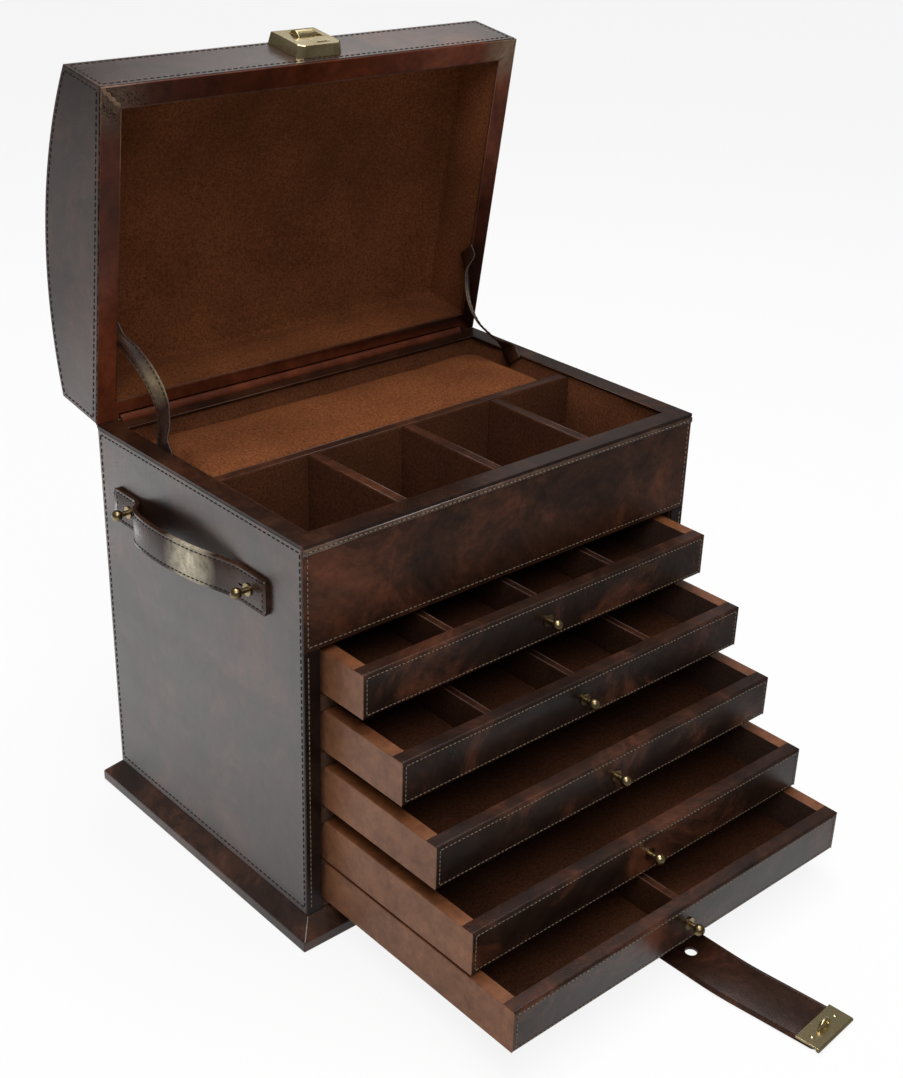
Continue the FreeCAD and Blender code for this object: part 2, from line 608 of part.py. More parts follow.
def make_handle(side, sign):
    """Side handle: a bowed strap on two studs, with a keyhole at each. sign is -1 on the left."""
    thick = value("handle_thick")
    half = value("handle_length") / 2
    seat = thick / 2
    flat = half - value("stud_inset") - value("slot_length")
    run = ((-half, seat), (-flat, seat),
           (-flat + value("handle_front_rise"), seat + value("handle_front_bow")),
           (flat - value("handle_rear_rise"), seat + value("handle_bow")),
           (flat, seat), (half, seat))
    slow, tight = value("handle_slow_bend"), value("handle_tight_bend")
    bends = (slow, slow, tight, tight)
    strap = band(f"handle_{side}_strap", run, bends, thick, value("handle_width"))
    cuts = []
    for end, direction in (("rear", 1), ("front", -1)):
        middle = f"{direction} * (handle_length / 2 - stud_inset)"
        inward = f"{middle} - {direction} * slot_length"
        span = (inward, middle) if direction > 0 else (middle, inward)
        cuts.append(drill(f"handle_{side}_{end}_hole", "neck_radius + stud_room", "0", middle,
                          ("-handle_thick", "2 * handle_thick")))
        cuts.append(strip(f"handle_{side}_{end}_slit", both("slot_width / 2"), span,
                          ("-handle_thick", "2 * handle_thick")))
    slotted = cut(f"handle_{side}_cut", strap, *cuts)

    def at_end(edge):
        return runs_along(edge, Z_AXIS) and abs(abs(edge.Vertexes[0].Y) - half) < 1e-6

    piece = softened(f"handle_{side}_ends", slotted, "Part::Fillet", "handle_corner", at_end)
    place(piece, (f"{sign} * {HALF_W}", "handle_shift", "handle_height"), Y_AXIS, f"{sign} * 90")
    node(piece, f"handle_{side}")

    studs = []
    for end, direction in (("rear", 1), ("front", -1)):
        stud = make_stud(f"handle_{side}_{end}_stud", "handle_thick")
        along = f"handle_shift + {direction} * (handle_length / 2 - stud_inset)"
        studs.append(place(stud, (f"{sign} * {HALF_W}", along, "handle_height"), Y_AXIS, f"{sign} * 90"))
    return studs


def make_handles():
    """Both side handles and their four studs."""
    studs = make_handle("left", -1) + make_handle("right", 1)
    node(group("handle_stud_set", *studs), "handle_studs")


def lay(piece, label):
    """Lays a finished piece of the closing strap, built straight from the case front, to its slant."""
    place(piece, ("0", f"-({HALF_D})", "0"), Z_AXIS, "strap_skew")
    return node(piece, label)


def make_strap():
    """Closing strap: glued in under the lowest drawer, laid out on the ground, hasp on its tip."""
    thick, width = value("strap_thick"), value("strap_width")
    middle = thick / 2
    up = value("plinth_height") + middle
    fold = value("strap_run")
    root_end = fold - middle - value("fold_gap")
    run = ((value("strap_root"), up), (-value("strap_lip"), up),
           (-value("strap_fall"), middle), (-root_end, middle))
    bend = value("strap_bend")
    root = band("strap_root_band", run, (bend, bend), thick, width)
    holes = []
    for number in DRAWERS:
        rise = f"{drawer_bottom(1)} - ({drawer_bottom(number)})"
        holes.append(drill(f"strap_hole_{number}", "strap_hole", "0", f"-hole_run + {rise}",
                           ("-strap_thick", "plinth_height + 2 * strap_thick")))
    lay(cut("strap_root_cut", root, *holes), "strap_root")

    tip = strip("strap_tip", both("strap_width / 2"), ("-strap_run - strap_end", "-strap_run"),
                ("0", "strap_thick"))
    round_end = rod("strap_fold", "strap_thick / 2", both("strap_width / 2"), "-strap_run", "strap_thick / 2")
    lay(fuse("strap_tip_piece", tip, round_end), "strap_free")

    lip_y = "-strap_run - strap_end - hasp_lip - hasp_gap"
    tab_z = ("strap_thick", "strap_thick + hasp_thick")
    plate = strip("hasp_blank", both("strap_width / 2"), (lip_y, f"{lip_y} + hasp_length"), tab_z)
    roll = rod("hasp_roll", "hasp_lip", both("strap_width / 2"), lip_y, "strap_thick + hasp_thick - hasp_lip")
    lay(fuse("hasp_shaped", plate, roll), "hasp_plate")

    bow = doc.addObject("Part::Torus", "staple_ring")
    bind(bow, "Radius1", "staple_radius")
    bind(bow, "Radius2", "staple_wire")
    seat = "strap_thick + hasp_thick"
    place(bow, ("0", f"{lip_y} + hasp_length / 2", seat), X_AXIS, "90")
    room = "staple_radius + 2 * staple_wire"
    above = strip("staple_room", both(room), ("-strap_run - strap_end", "-strap_run"),
                  (seat, f"{seat} + {room}"))
    lay(shared("staple_bow", bow, above), "hasp_staple")


def make_lock():
    """Lock case on the lid's front, with a key slot and a sliding thumb piece in a track."""
    face = "-case_depth - lock_thick"
    bottom = "lid_gap / 2 + lock_lift"
    top = f"{bottom} + lock_height"
    block = doc.addObject("Part::Wedge", "lock_block")
    half, lean = "lock_width / 2", "lock_draft"
    spans = {"X": both(f"{half} - {lean}"), "Z": (f"{bottom} + {lean}", f"{top} - {lean}"),
             "X2": both(half), "Z2": (bottom, top), "Y": (face, "-case_depth")}
    for letter, (low, high) in spans.items():
        bind(block, letter + "min", low)
        bind(block, letter + "max", high)
    low_z = value("lid_gap") / 2 + value("lock_lift") + value("lock_draft")

    def lower_corner(edge):
        ends = [corner.Point for corner in edge.Vertexes]
        return all(end.z < low_z + 1e-6 for end in ends) and abs(ends[0].y - ends[1].y) > 1

    shaped = softened("lock_shaped", block, "Part::Chamfer", "lock_corner", lower_corner)
    key_low = f"{bottom} + key_drop"
    key = strip("key_slot", ("key_shift - key_width / 2", "key_shift + key_width / 2"),
                (f"{face} - 1", f"{face} + button_sink"), (key_low, f"{key_low} + key_height"))
    slide_z = f"{top} - button_drop"
    track = strip("slide_track",
                  ("-button_width / 2 - button_gap", "button_width / 2 + button_travel + button_gap"),
                  (f"{face} - 1", f"{face} + button_sink"),
                  (f"{slide_z} - button_height / 2 - button_gap",
                   f"{slide_z} + button_height / 2 + button_gap"))
    hang(cut("lock_cut", shaped, key, track), "lock_body")

    across = both("button_width / 2")
    foot = strip("thumb_block", across, (f"{face} - button_stand", f"{face} + button_sink - button_gap"),
                 (f"{slide_z} - button_height / 2", f"{slide_z} + button_height / 2"))
    arch = "(button_height ^ 2 / 4 + button_stand ^ 2) / (2 * button_stand)"
    crown = rod("thumb_arch", arch, across, f"{face} - button_stand + {arch}", slide_z)
    thumb = shared("thumb_bar", foot, crown)
    end_x = value("button_width") / 2

    def at_side(edge):
        return all(abs(abs(corner.X) - end_x) < 1e-6 for corner in edge.Vertexes)

    hang(softened("thumb_shaped", thumb, "Part::Fillet", "button_round", at_side), "lock_button")


def make_stays():
    """Two slack leather stays that keep the lid from falling back."""
    lean = math.radians(value("lid_angle"))
    on_lid = FreeCAD.Vector(0, -value("stay_lid") * math.cos(lean), value("stay_lid") * math.sin(lean))
    on_case = FreeCAD.Vector(0, -value("stay_case"), -value("lid_gap"))
    chord = on_case - on_lid
    along = chord.normalize()
    length = (on_case - on_lid).Length
    grip, thick, bulge = value("stay_grip"), value("stay_thick"), value("stay_bulge")
    seat = thick / 2
    run = ((-grip, seat), (grip / 2, seat), (length * 0.3, seat + bulge), (length * 0.7, seat + bulge),
           (length - grip / 2, seat), (length + grip, seat))
    bends = (value("stay_bend"),) * 4
    wall_x = f"({HALF_W} - {RIM} - stay_gap)"
    for side, sign in (("left", -1), ("right", 1)):
        stay = band(f"stay_{side}_band", run, bends, thick, value("stay_width"))
        inward = X_AXIS * -sign
        across = along.cross(inward)
        turn = FreeCAD.Rotation(across, along, inward, "YZX")
        stay.Placement = FreeCAD.Placement(on_lid, turn)
        bind(stay, "Placement.Base.x", f"{sign} * {wall_x}")
        bind(stay, "Placement.Base.y", f"{HALF_D} + ({on_lid.y})")
        bind(stay, "Placement.Base.z", f"{AXIS_Z} + ({on_lid.z})")
        node(stay, f"stay_{side}")


def main():
    make_plinth()
    make_case()
    make_tray()
    make_lid()
    make_hinge()
    for number, dividers in zip(DRAWERS, (3, 3, 0, 0, 1)):
        make_drawer(number, dividers)
    make_handles()
    make_strap()
    make_lock()
    make_stays()
    doc.recompute()
    for piece in doc.Objects:
        if "Invalid" in piece.State or "Error" in piece.State:
            raise RuntimeError(f"{piece.Label} did not build: {piece.State}")
    os.makedirs("parts", exist_ok=True)
    for piece in nodes:
        shape = piece.Shape
        if shape.isNull() or not shape.isValid() or not shape.Solids:
            raise RuntimeError(f"{piece.Label} is not a valid solid")
        shape.exportStep(f"parts/{piece.Label}.step")
        print(f"{piece.Label}: {len(shape.Solids)} solids, {shape.Volume:.0f} mm3")
    print(f"{len(nodes)} nodes")


main()
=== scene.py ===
import math

import bpy
from mathutils import Matrix, Vector


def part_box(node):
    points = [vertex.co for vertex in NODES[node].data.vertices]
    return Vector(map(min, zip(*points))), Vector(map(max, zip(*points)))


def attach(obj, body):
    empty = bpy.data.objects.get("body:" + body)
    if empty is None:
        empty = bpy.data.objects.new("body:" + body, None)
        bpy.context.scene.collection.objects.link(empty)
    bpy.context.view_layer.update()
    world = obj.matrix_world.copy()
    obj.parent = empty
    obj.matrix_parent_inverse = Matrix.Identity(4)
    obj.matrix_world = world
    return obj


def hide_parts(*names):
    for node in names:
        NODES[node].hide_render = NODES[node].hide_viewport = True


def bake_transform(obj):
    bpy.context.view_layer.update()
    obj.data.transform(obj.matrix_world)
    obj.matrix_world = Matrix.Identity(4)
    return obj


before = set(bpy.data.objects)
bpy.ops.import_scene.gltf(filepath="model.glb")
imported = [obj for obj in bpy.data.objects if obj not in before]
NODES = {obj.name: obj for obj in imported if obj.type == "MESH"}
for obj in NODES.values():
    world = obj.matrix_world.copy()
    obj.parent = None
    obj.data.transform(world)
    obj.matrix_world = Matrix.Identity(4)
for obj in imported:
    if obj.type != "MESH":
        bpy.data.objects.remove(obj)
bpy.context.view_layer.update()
DRAWERS = range(1, 6)
SIDES = (("left", -1), ("right", 1))

# Sizes in millimetres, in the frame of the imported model
MM = 0.001


def box_of(name):
    """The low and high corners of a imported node, in millimetres."""
    return [Vector([round(length / MM, 3) for length in corner]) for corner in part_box(name)]


X_AXIS, Y_AXIS, Z_AXIS = Vector((1, 0, 0)), Vector((0, 1, 0)), Vector((0, 0, 1))
RIM_LOW, RIM_HIGH = box_of("tray_rim")
HALF_WIDTH, HALF_DEPTH, RIM_TOP = RIM_HIGH
BOARD_TOP = RIM_LOW.z
PLINTH_TOP = box_of("side_panel_left")[0].z
SEAM = box_of("upper_front_facing")[0].z
WALL, LINING, TRIM_WIDTH, TRAY_FLOOR = 12, 1, 14, 225.5
TRAY_PARTITIONS, TRAY_PARTITION_EDGE = (-80.5, 0, 80.5), 3.3
DRAWER_CELLS = {1: 4, 2: 4, 5: 2}
DRAWER_INSIDE, DRAWER_PARTITION_THICK, DRAWER_PARTITION_EDGE = 287, 6, 2.4
LID_ANGLE, LID_LOW, LID_TRIM_THICK, LID_WALL_TOP, LID_RISE, LID_BOARD = 81.2, 0.3, 2, 45.7, 23.3, 6.2
AXIS_HEIGHT = RIM_TOP + LID_LOW
DOME_RADIUS = (HALF_DEPTH ** 2 + LID_RISE ** 2) / (2 * LID_RISE)
DOME_CENTRE = LID_WALL_TOP + LID_RISE - DOME_RADIUS
LID_COVER = 0.25
SEAM_INSET, DRAWER_SEAM_INSET = 3.2, 2.6
FRONT_EDGE_HEIGHT, FRONT_EDGE_WIDTH, FRONT_EDGE_RISE = 282, 4.6, 1.0
GROOVE_WIDTH, GROOVE_RISE = 1.0, 0.08
TURNED_WIDTH, TURNED_RISE, DRAWER_TURNED_RISE = 1.0, 0.35, 0.3
STITCH_PITCH, STITCH_LENGTH, STITCH_WIDTH, STITCH_HEIGHT, STITCH_SINK = 3.9, 2.8, 0.9, 0.8, 0.1
LARGE_STITCH, FRONT_STITCH, DRAWER_STITCH = 1.2, 0.95, 0.85
HANDLE_WIDTH, HANDLE_THICK, HANDLE_HEIGHT = 25, 3, 238
STUD_PLACES = (75.5, -62.5)
STRAP_WIDTH, STRAP_THICK, STRAP_SKEW = 39, 1.8, 5
STRAP_GLUED, STRAP_FOLD, STRAP_TIP, STRAP_BOW, STRAP_BOW_FROM = 45, 193.5, 276.2, 2.8, 140
STRAP_HOLES, STRAP_HOLE_RADIUS = (171, 129, 87, 45, 12.2), 4.1
STAY_WIDTH, STAY_THICK, STAY_INSET, STAY_ON_LID, STAY_ON_CASE = 16, 1.4, 2, 62, 59


def turned(angle, axis):
    """A turn by an angle in degrees about an axis."""
    return Matrix.Rotation(math.radians(angle), 4, axis)


LID = Matrix.Translation((0, HALF_DEPTH, AXIS_HEIGHT)) @ turned(-LID_ANGLE, "X")
STRAP = Matrix.Translation((0, -HALF_DEPTH, 0)) @ turned(STRAP_SKEW, "Z")
HERE = Matrix.Identity(4)


def shade(red, green, blue):
    """A colour given in 8-bit sRGB, as linear RGBA."""
    def channel(level):
        level /= 255
        return level / 12.92 if level <= 0.04045 else ((level + 0.055) / 1.055) ** 2.4
    return (channel(red), channel(green), channel(blue), 1)


def grey(level):
    """A grey given as a linear level."""
    return (level, level, level, 1)


def with_settings(thing, **settings):
    """The same thing, with settings made by name."""
    for name, setting in settings.items():
        setattr(thing, name, setting)
    return thing


class Nodes:
    """Short ways to add the nodes of a material or a world, and to link them."""

    def __init__(self, owner):
        owner.use_nodes = True
        self.tree = owner.node_tree

    def give(self, socket, source):
        """A socket takes a link from another node, or a plain setting."""
        if isinstance(source, bpy.types.NodeSocket):
            self.tree.links.new(source, socket)
        else:
            socket.default_value = source

    def add(self, kind, sockets=None, **settings):
        """A node with its settings, and with what its sockets take."""
        node = with_settings(self.tree.nodes.new(kind), **settings)
        for name, source in (sockets or {}).items():
            self.give(node.inputs[name], source)
        return node

    def math(self, operation, first, second=0.0):
        return self.add("ShaderNodeMath", {0: first, 1: second}, operation=operation).outputs[0]

    def near(self, vector, centre, reach):
        """1 at a centre, fading to 0 at a reach along each axis, both in metres."""
        shift = [-place / size for place, size in zip(centre, reach)]
        scale = [1 / size for size in reach]
        sockets = {"Location": shift, "Scale": scale, "Vector": vector}
        scaled = self.add("ShaderNodeMapping", sockets).outputs["Vector"]
        return self.add("ShaderNodeTexGradient", {0: scaled}, gradient_type="SPHERICAL").outputs["Fac"]


class Surface(Nodes):
    """A procedural material: a Principled shader with short ways to texture it."""

    def __init__(self, name, **sockets):
        self.material = bpy.data.materials.new(name)
        super().__init__(self.material)
        self.shader = self.tree.nodes["Principled BSDF"]
        self.place = self.add("ShaderNodeTexCoord").outputs["Object"]
        for socket, setting in sockets.items():
            self.shader.inputs[socket.replace("_", " ")].default_value = setting

    def noise(self, scale, detail=4, rough=0.55, warp=0.0, stretch=(1, 1, 1)):
        place = self.add("ShaderNodeMapping", {"Scale": stretch, "Vector": self.place}).outputs[0]
        sockets = {"Scale": scale, "Detail": detail, "Roughness": rough, "Distortion": warp, "Vector": place}
        return self.add("ShaderNodeTexNoise", sockets).outputs["Fac"]

    def cells(self, scale):
        return self.add("ShaderNodeTexVoronoi", {"Scale": scale, "Vector": self.place}).outputs["Distance"]

    def ramp(self, factor, *stops):
        node = self.add("ShaderNodeValToRGB", {"Fac": factor})
        steps = node.color_ramp.elements
        steps.remove(steps[-1])
        steps[0].position, steps[0].color = stops[0]
        for position, colour in stops[1:]:
            steps.new(position).color = colour
        return node.outputs["Color"]

    def mix(self, factor, first, second, blend="MIX"):
        """A mix of two colours. The colours' sockets can only be told apart by number."""
        sockets = {0: factor, 6: first, 7: second}
        return self.add("ShaderNodeMix", sockets, data_type="RGBA", blend_type=blend).outputs[2]

    def parts(self, vector):
        return self.add("ShaderNodeSeparateXYZ", {0: vector}).outputs

    def facing(self):
        """The X, Y and Z of the surface's own normal."""
        return self.parts(self.add("ShaderNodeNewGeometry").outputs["Normal"])

    def bump(self, height, depth, under=None):
        """Relief of a depth in metres, on top of another relief if one is given."""
        node = self.add("ShaderNodeBump", {"Distance": depth, "Height": height})
        if under:
            self.give(node.inputs["Normal"], under)
        return node.outputs["Normal"]

    def finish(self, colour, rough, normal):
        for name, source in (("Base Color", colour), ("Roughness", rough), ("Normal", normal)):
            self.give(self.shader.inputs[name], source)
        return self.material


def hide_colour(surface, tones):
    """Antiqued leather: broad clouds from a dark to a warm tone, with small flecks."""
    dark, middle, warm = (shade(*tone) for tone in tones)
    clouds = surface.noise(14, detail=9, rough=0.74, warp=0.7)
    colour = surface.ramp(clouds, (0.36, dark), (0.5, middle), (0.66, warm))
    flecks = surface.noise(140, detail=5, rough=0.7)
    return surface.mix(0.65, colour, surface.ramp(flecks, (0.3, grey(0.55)), (0.7, grey(1.35))), "MULTIPLY")


def hide_relief(surface, depth):
    """Pores and soft creases of polished leather, of a depth in metres."""
    creases = surface.bump(surface.noise(90, detail=3, rough=0.5), depth * 2)
    return surface.bump(surface.cells(780), depth, creases)


def polish(surface, smooth, dull):
    """Roughness that wanders between two levels, with faint slanting brush marks."""
    patches = surface.noise(16, detail=6, rough=0.6)
    brushed = surface.noise(30, detail=3, stretch=(1, 0.25, 1.6))
    both = surface.mix(0.4, patches, brushed)
    return surface.ramp(both, (0.3, grey(smooth)), (0.7, grey(dull)))


def leather(name, tones, smooth, dull, level, coat=0.0, depth=0.00006):
    """Polished leather in a dark, a middle and a warm tone. level says how much it reflects."""
    surface = Surface(name, Specular_IOR_Level=level, Coat_Weight=coat, Coat_Roughness=0.22)
    return surface.finish(hide_colour(surface, tones), polish(surface, smooth, dull),
                          hide_relief(surface, depth))


def nap(surface, tones):
    """Suede's colour: soft hand marks from a dark to a light tone, and fine fibres."""
    dark, light = (shade(*tone) for tone in tones)
    marks = surface.ramp(surface.noise(13, detail=4, rough=0.5), (0.3, dark), (0.7, light))
    fibres = surface.noise(560, detail=3, rough=0.75)
    return surface.mix(0.8, marks, surface.ramp(fibres, (0.3, grey(0.4)), (0.7, grey(1.6))), "MULTIPLY")


def suede(name, tones):
    """Soft suede that hardly reflects."""
    surface = Surface(name, Specular_IOR_Level=0.03)
    relief = surface.bump(surface.noise(1100, detail=3, rough=0.7), 0.00025)
    return surface.finish(nap(surface, tones), 0.95, relief)


def partition(name, tones):
    """Suede on the sides of a partition, smooth leather along its top."""
    surface = Surface(name, Specular_IOR_Level=0.12)
    top = surface.math("GREATER_THAN", surface.facing()["Z"], 0.6)
    cap = hide_colour(surface, ((36, 19, 12), (52, 28, 17), (78, 43, 27)))
    relief = surface.bump(surface.noise(1000, detail=3, rough=0.7), 0.00015)
    return surface.finish(surface.mix(top, nap(surface, tones), cap),
                          surface.ramp(top, (0, grey(0.92)), (1, grey(0.42))), relief)


TRAY_NAP = ((68, 39, 24), (88, 51, 31))
DRAWER_NAP = ((50, 29, 19), (70, 42, 27))
TAN_TONES = ((120, 79, 55), (135, 90, 63), (149, 101, 72))


def drawer_side():
    """Smooth tan leather outside and on the edges, suede inside."""
    surface = Surface("tan_leather", Specular_IOR_Level=0.42)
    normal = surface.facing()
    place = surface.parts(surface.place)
    outward = surface.math("MULTIPLY", normal["X"], place["X"])
    inside = surface.math("LESS_THAN", outward, -0.05)
    tan = hide_colour(surface, TAN_TONES)
    edge = hide_colour(surface, ((98, 57, 34), (116, 70, 42), (130, 80, 48)))
    outside = surface.mix(surface.math("GREATER_THAN", normal["Z"], 0.6), tan, edge)
    colour = surface.mix(inside, outside, nap(surface, DRAWER_NAP))
    return surface.finish(colour, surface.ramp(inside, (0, grey(0.42)), (1, grey(0.95))),
                          hide_relief(surface, 0.00003))


def drawer_face():
    """Dark leather on a drawer's front, tan on its two ends, suede behind."""
    surface = Surface("drawer_front_leather", Specular_IOR_Level=0.38)
    normal = surface.facing()
    ends = surface.math("GREATER_THAN", surface.math("ABSOLUTE", normal["X"]), 0.75)
    behind = surface.math("GREATER_THAN", normal["Y"], 0.75)
    front = hide_colour(surface, ((26, 17, 13), (44, 27, 19), (96, 55, 36)))
    edge = hide_colour(surface, ((30, 17, 12), (48, 27, 18), (84, 46, 29)))
    front = surface.mix(surface.math("GREATER_THAN", normal["Z"], 0.6), front, edge)
    colour = surface.mix(ends, front, hide_colour(surface, TAN_TONES))
    colour = surface.mix(behind, colour, nap(surface, DRAWER_NAP))
    rough = surface.mix(behind, polish(surface, 0.22, 0.4), grey(0.95))
    return surface.finish(colour, rough, hide_relief(surface, 0.00005))


def wear_and_highlight_patch(surface, colour, centre, reach, tone):
    """A blotchy patch of another colour. Its centre and reach are in millimetres."""
    near = surface.near(surface.place, Vector(centre) * MM, Vector(reach) * MM)
    blotches = surface.ramp(surface.noise(160, detail=6, rough=0.7), (0.3, grey(0.35)), (0.6, grey(1)))
    return surface.mix(surface.math("MULTIPLY", near, blotches), colour, shade(*tone))


def worn_trim():
    """The lid's reddish trim, rubbed paler at its two front corners."""
    surface = Surface("lid_trim_leather", Specular_IOR_Level=0.2)
    colour = hide_colour(surface, ((68, 31, 16), (85, 39, 21), (106, 52, 30)))
    inset = TRIM_WIDTH / 2
    for _, sign in SIDES:
        corner = LID @ Vector((sign * (HALF_WIDTH - inset), -2 * HALF_DEPTH + inset, LID_LOW))
        colour = wear_and_highlight_patch(surface, colour, corner, (28, 28, 28), (124, 106, 86))
    return surface.finish(colour, polish(surface, 0.28, 0.45), hide_relief(surface, 0.00003))


def band_with_painted_highlight(name, place, reach, tone):
    """Dark polished leather, with a highlight painted paler about a place on the right and its mirror on the
    left.
    """
    surface = Surface(name, Specular_IOR_Level=0.26, Coat_Weight=0.12, Coat_Roughness=0.2)
    colour = hide_colour(surface, ((38, 23, 15), (56, 34, 23), (86, 54, 36)))
    for _, sign in SIDES:
        colour = wear_and_highlight_patch(surface, colour, (sign * place[0], place[1], place[2]), reach, tone)
    return surface.finish(colour, polish(surface, 0.16, 0.3), hide_relief(surface, 0.0001))


def metal(name, bright, dull, smooth, worn):
    """Aged metal: bright where it is handled, dull where patina has settled."""
    surface = Surface(name, Metallic=1.0)
    patina = surface.noise(75, detail=6, rough=0.6, warp=0.5)
    colour = surface.ramp(patina, (0.35, shade(*bright)), (0.68, shade(*dull)))
    rough = surface.ramp(patina, (0.3, grey(smooth)), (0.7, grey(worn)))
    return surface.finish(colour, rough, surface.bump(surface.noise(420, detail=4), 0.000012))


def fibre(name, dark, light):
    """Twisted thread, or bare board."""
    surface = Surface(name, Specular_IOR_Level=0.3)
    twist = surface.noise(1500, detail=2, rough=0.6)
    colour = surface.ramp(twist, (0.3, shade(*dark)), (0.7, shade(*light)))
    return surface.finish(colour, 0.7, surface.bump(twist, 0.0001))


PANEL = leather("panel_leather", ((42, 28, 22), (58, 38, 29), (90, 54, 38)), 0.24, 0.42, 1.0, 0.35)
FRONT = leather("front_leather", ((38, 22, 15), (62, 36, 23), (98, 54, 34)), 0.24, 0.42, 0.28)
# Glossier leather for the front's rounded top edge. Its paler tones are in part a painted highlight.
FRONT_EDGE = leather("front_edge_highlight_leather", ((58, 40, 31), (80, 58, 46), (112, 88, 72)), 0.2, 0.36, 0.7, 0.3)
STILE = leather("stile_leather", ((20, 12, 10), (28, 17, 13), (44, 27, 20)), 0.24, 0.42, 0.3)
CLOSING = leather("strap_leather", ((36, 21, 15), (52, 31, 22), (84, 48, 32)), 0.24, 0.4, 0.26)
DRAWER_FACE = drawer_face()
TRIM = leather("trim_leather", ((28, 15, 10), (40, 22, 14), (66, 38, 24)), 0.22, 0.4, 0.32, depth=0.00002)
TRIM_EDGE = leather("trim_edge_leather", ((54, 30, 19), (72, 42, 27), (94, 58, 39)), 0.35, 0.5, 0.35)
LID_TRIM = worn_trim()
BASE = leather("base_leather", ((36, 23, 17), (56, 34, 24), (92, 57, 40)), 0.2, 0.36, 0.7, 0.2)
# The handle's bow and the stays' bend carry a painted highlight: a pale patch in the leather's colour.
HANDLE_BAND = band_with_painted_highlight("handle_leather", (183, -10, HANDLE_HEIGHT), (40, 24, 34), (238, 226, 196))
STAY_BAND = band_with_painted_highlight("stay_leather", (145, 82, 322), (26, 20, 18), (150, 130, 100))
# Dark ribbons beside the stitches, the painted shade of a sewn channel.
CHANNEL_SHADE = leather("groove_shade_leather", ((24, 16, 13), (34, 22, 17), (46, 30, 23)), 0.4, 0.6, 0.3)
TAN = drawer_side()
LID_SUEDE = suede("lid_suede", ((84, 48, 28), (108, 63, 37)))
TRAY_SUEDE = suede("tray_suede", TRAY_NAP)
PAD_SUEDE = suede("pad_suede", ((92, 53, 31), (116, 68, 40)))
DRAWER_SUEDE = suede("drawer_suede", DRAWER_NAP)
TRAY_PARTITION = partition("tray_partition", TRAY_NAP)
DRAWER_PARTITION = partition("drawer_partition", DRAWER_NAP)
BRASS = metal("antique_brass", (222, 204, 158), (172, 153, 112), 0.18, 0.3)
STUD_BRASS = metal("stud_brass", (178, 158, 118), (112, 96, 70), 0.22, 0.4)
STEEL = metal("worn_steel", (170, 166, 158), (112, 106, 98), 0.3, 0.5)
BOARD = fibre("board", (58, 38, 26), (80, 54, 38))
THREAD_DARK = fibre("dark_thread", (22, 15, 12), (48, 36, 29))
THREAD_PALE = fibre("pale_thread", (92, 76, 60), (146, 126, 104))


def add_object(name, data):
    """An object of the scene that holds a mesh, a lamp or a lens."""
    thing = bpy.data.objects.new(name, data)
    bpy.context.scene.collection.objects.link(thing)
    return thing


def mesh_of(name, points, faces):
    """A mesh from points in millimetres."""
    mesh = bpy.data.meshes.new(name)
    mesh.from_pydata([Vector(point) * MM for point in points], [], faces)
    return mesh


def set_material(mesh, material):
    mesh.materials.clear()
    mesh.materials.append(material)


def smooth_faces(mesh):
    mesh.polygons.foreach_set("use_smooth", [True] * len(mesh.polygons))


def modify(piece, name, kind, **settings):
    return with_settings(piece.modifiers.new(name, kind), **settings)


def piece_of(name, points, faces, material, slot, body=None, nodes=()):
    """A smooth mesh from points in mm. It rides on a body if one is given."""
    mesh = mesh_of(name, points, faces)
    set_material(mesh, material)
    smooth_faces(mesh)
    piece = add_object(name, mesh)
    if body:
        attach(piece, body)
    if nodes:
        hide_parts(*nodes)
    return piece or piece


def bake(piece):
    """Gives a piece the mesh that its modifiers make, and drops them."""
    bpy.context.view_layer.update()
    made = bpy.data.meshes.new_from_object(piece.evaluated_get(bpy.context.evaluated_depsgraph_get()))
    piece.modifiers.clear()
    piece.data = made


def carve(piece, cutters):
    """Cuts closed shapes, given as points and faces, out of a piece."""
    tools = [add_object("cutter", mesh_of("cutter", *cutter)) for cutter in cutters]
    for tool in tools:
        modify(piece, "cut", "BOOLEAN", object=tool, solver="EXACT")
    bake(piece)
    for tool in tools:
        bpy.data.objects.remove(tool)
    piece.data.set_sharp_from_angle(angle=math.radians(42))


def skin(rings, closed_ends=True):
    """Faces of a closed tube through rings of equal length, given as lists of points."""
    count = len(rings[0])
    points = [point for ring in rings for point in ring]
    faces = []
    for row in range(len(rings) - 1):
        for k in range(count):
            near, far = row * count + k, row * count + (k + 1) % count
            faces.append((near, far, far + count, near + count))
    if closed_ends:
        faces.append(tuple(reversed(range(count))))
        faces.append(tuple(range(len(points) - count, len(points))))
    return points, faces


def joined(shells):
    """The points and faces of several closed shells, as one list of each."""
    points, faces = [], []
    for shell_points, shell_faces in shells:
        faces += [tuple(len(points) + index for index in face) for face in shell_faces]
        points += shell_points
    return points, faces


def prism(centre, axis, across, outline, reach):
    """A closed prism on an axis, its outline given in the plane of across and a third direction."""
    third = axis.cross(across)
    rings = []
    for shift in (-reach, reach):
        rings.append([centre + axis * shift + across * u + third * v for u, v in outline])
    return skin(rings)


def circle(radius, sides=28):
    """Points round a circle in a plane of two numbers."""
    turns = [2 * math.pi * k / sides for k in range(sides)]
    return [(radius * math.cos(turn), radius * math.sin(turn)) for turn in turns]


def smooth_line(knots, step=2.0):
    """Points along a smooth curve through knots, about a step apart."""
    ends = [knots[0] * 2 - knots[1]] + list(knots) + [knots[-1] * 2 - knots[-2]]
    line = []
    for a, b, c, d in zip(ends, ends[1:], ends[2:], ends[3:]):
        count = max(1, round((c - b).length / step))
        for k in range(count):
            t = k / count
            line.append(0.5 * (2 * b + (c - a) * t + (2 * a - 5 * b + 4 * c - d) * t ** 2
                               + (3 * b - a - 3 * c + d) * t ** 3))
    return line + [knots[-1]]


def directions(line):
    """The unit direction of a line at each of its points."""
    last = len(line) - 1
    return [(line[min(k + 1, last)] - line[max(k - 1, 0)]).normalized() for k in range(len(line))]


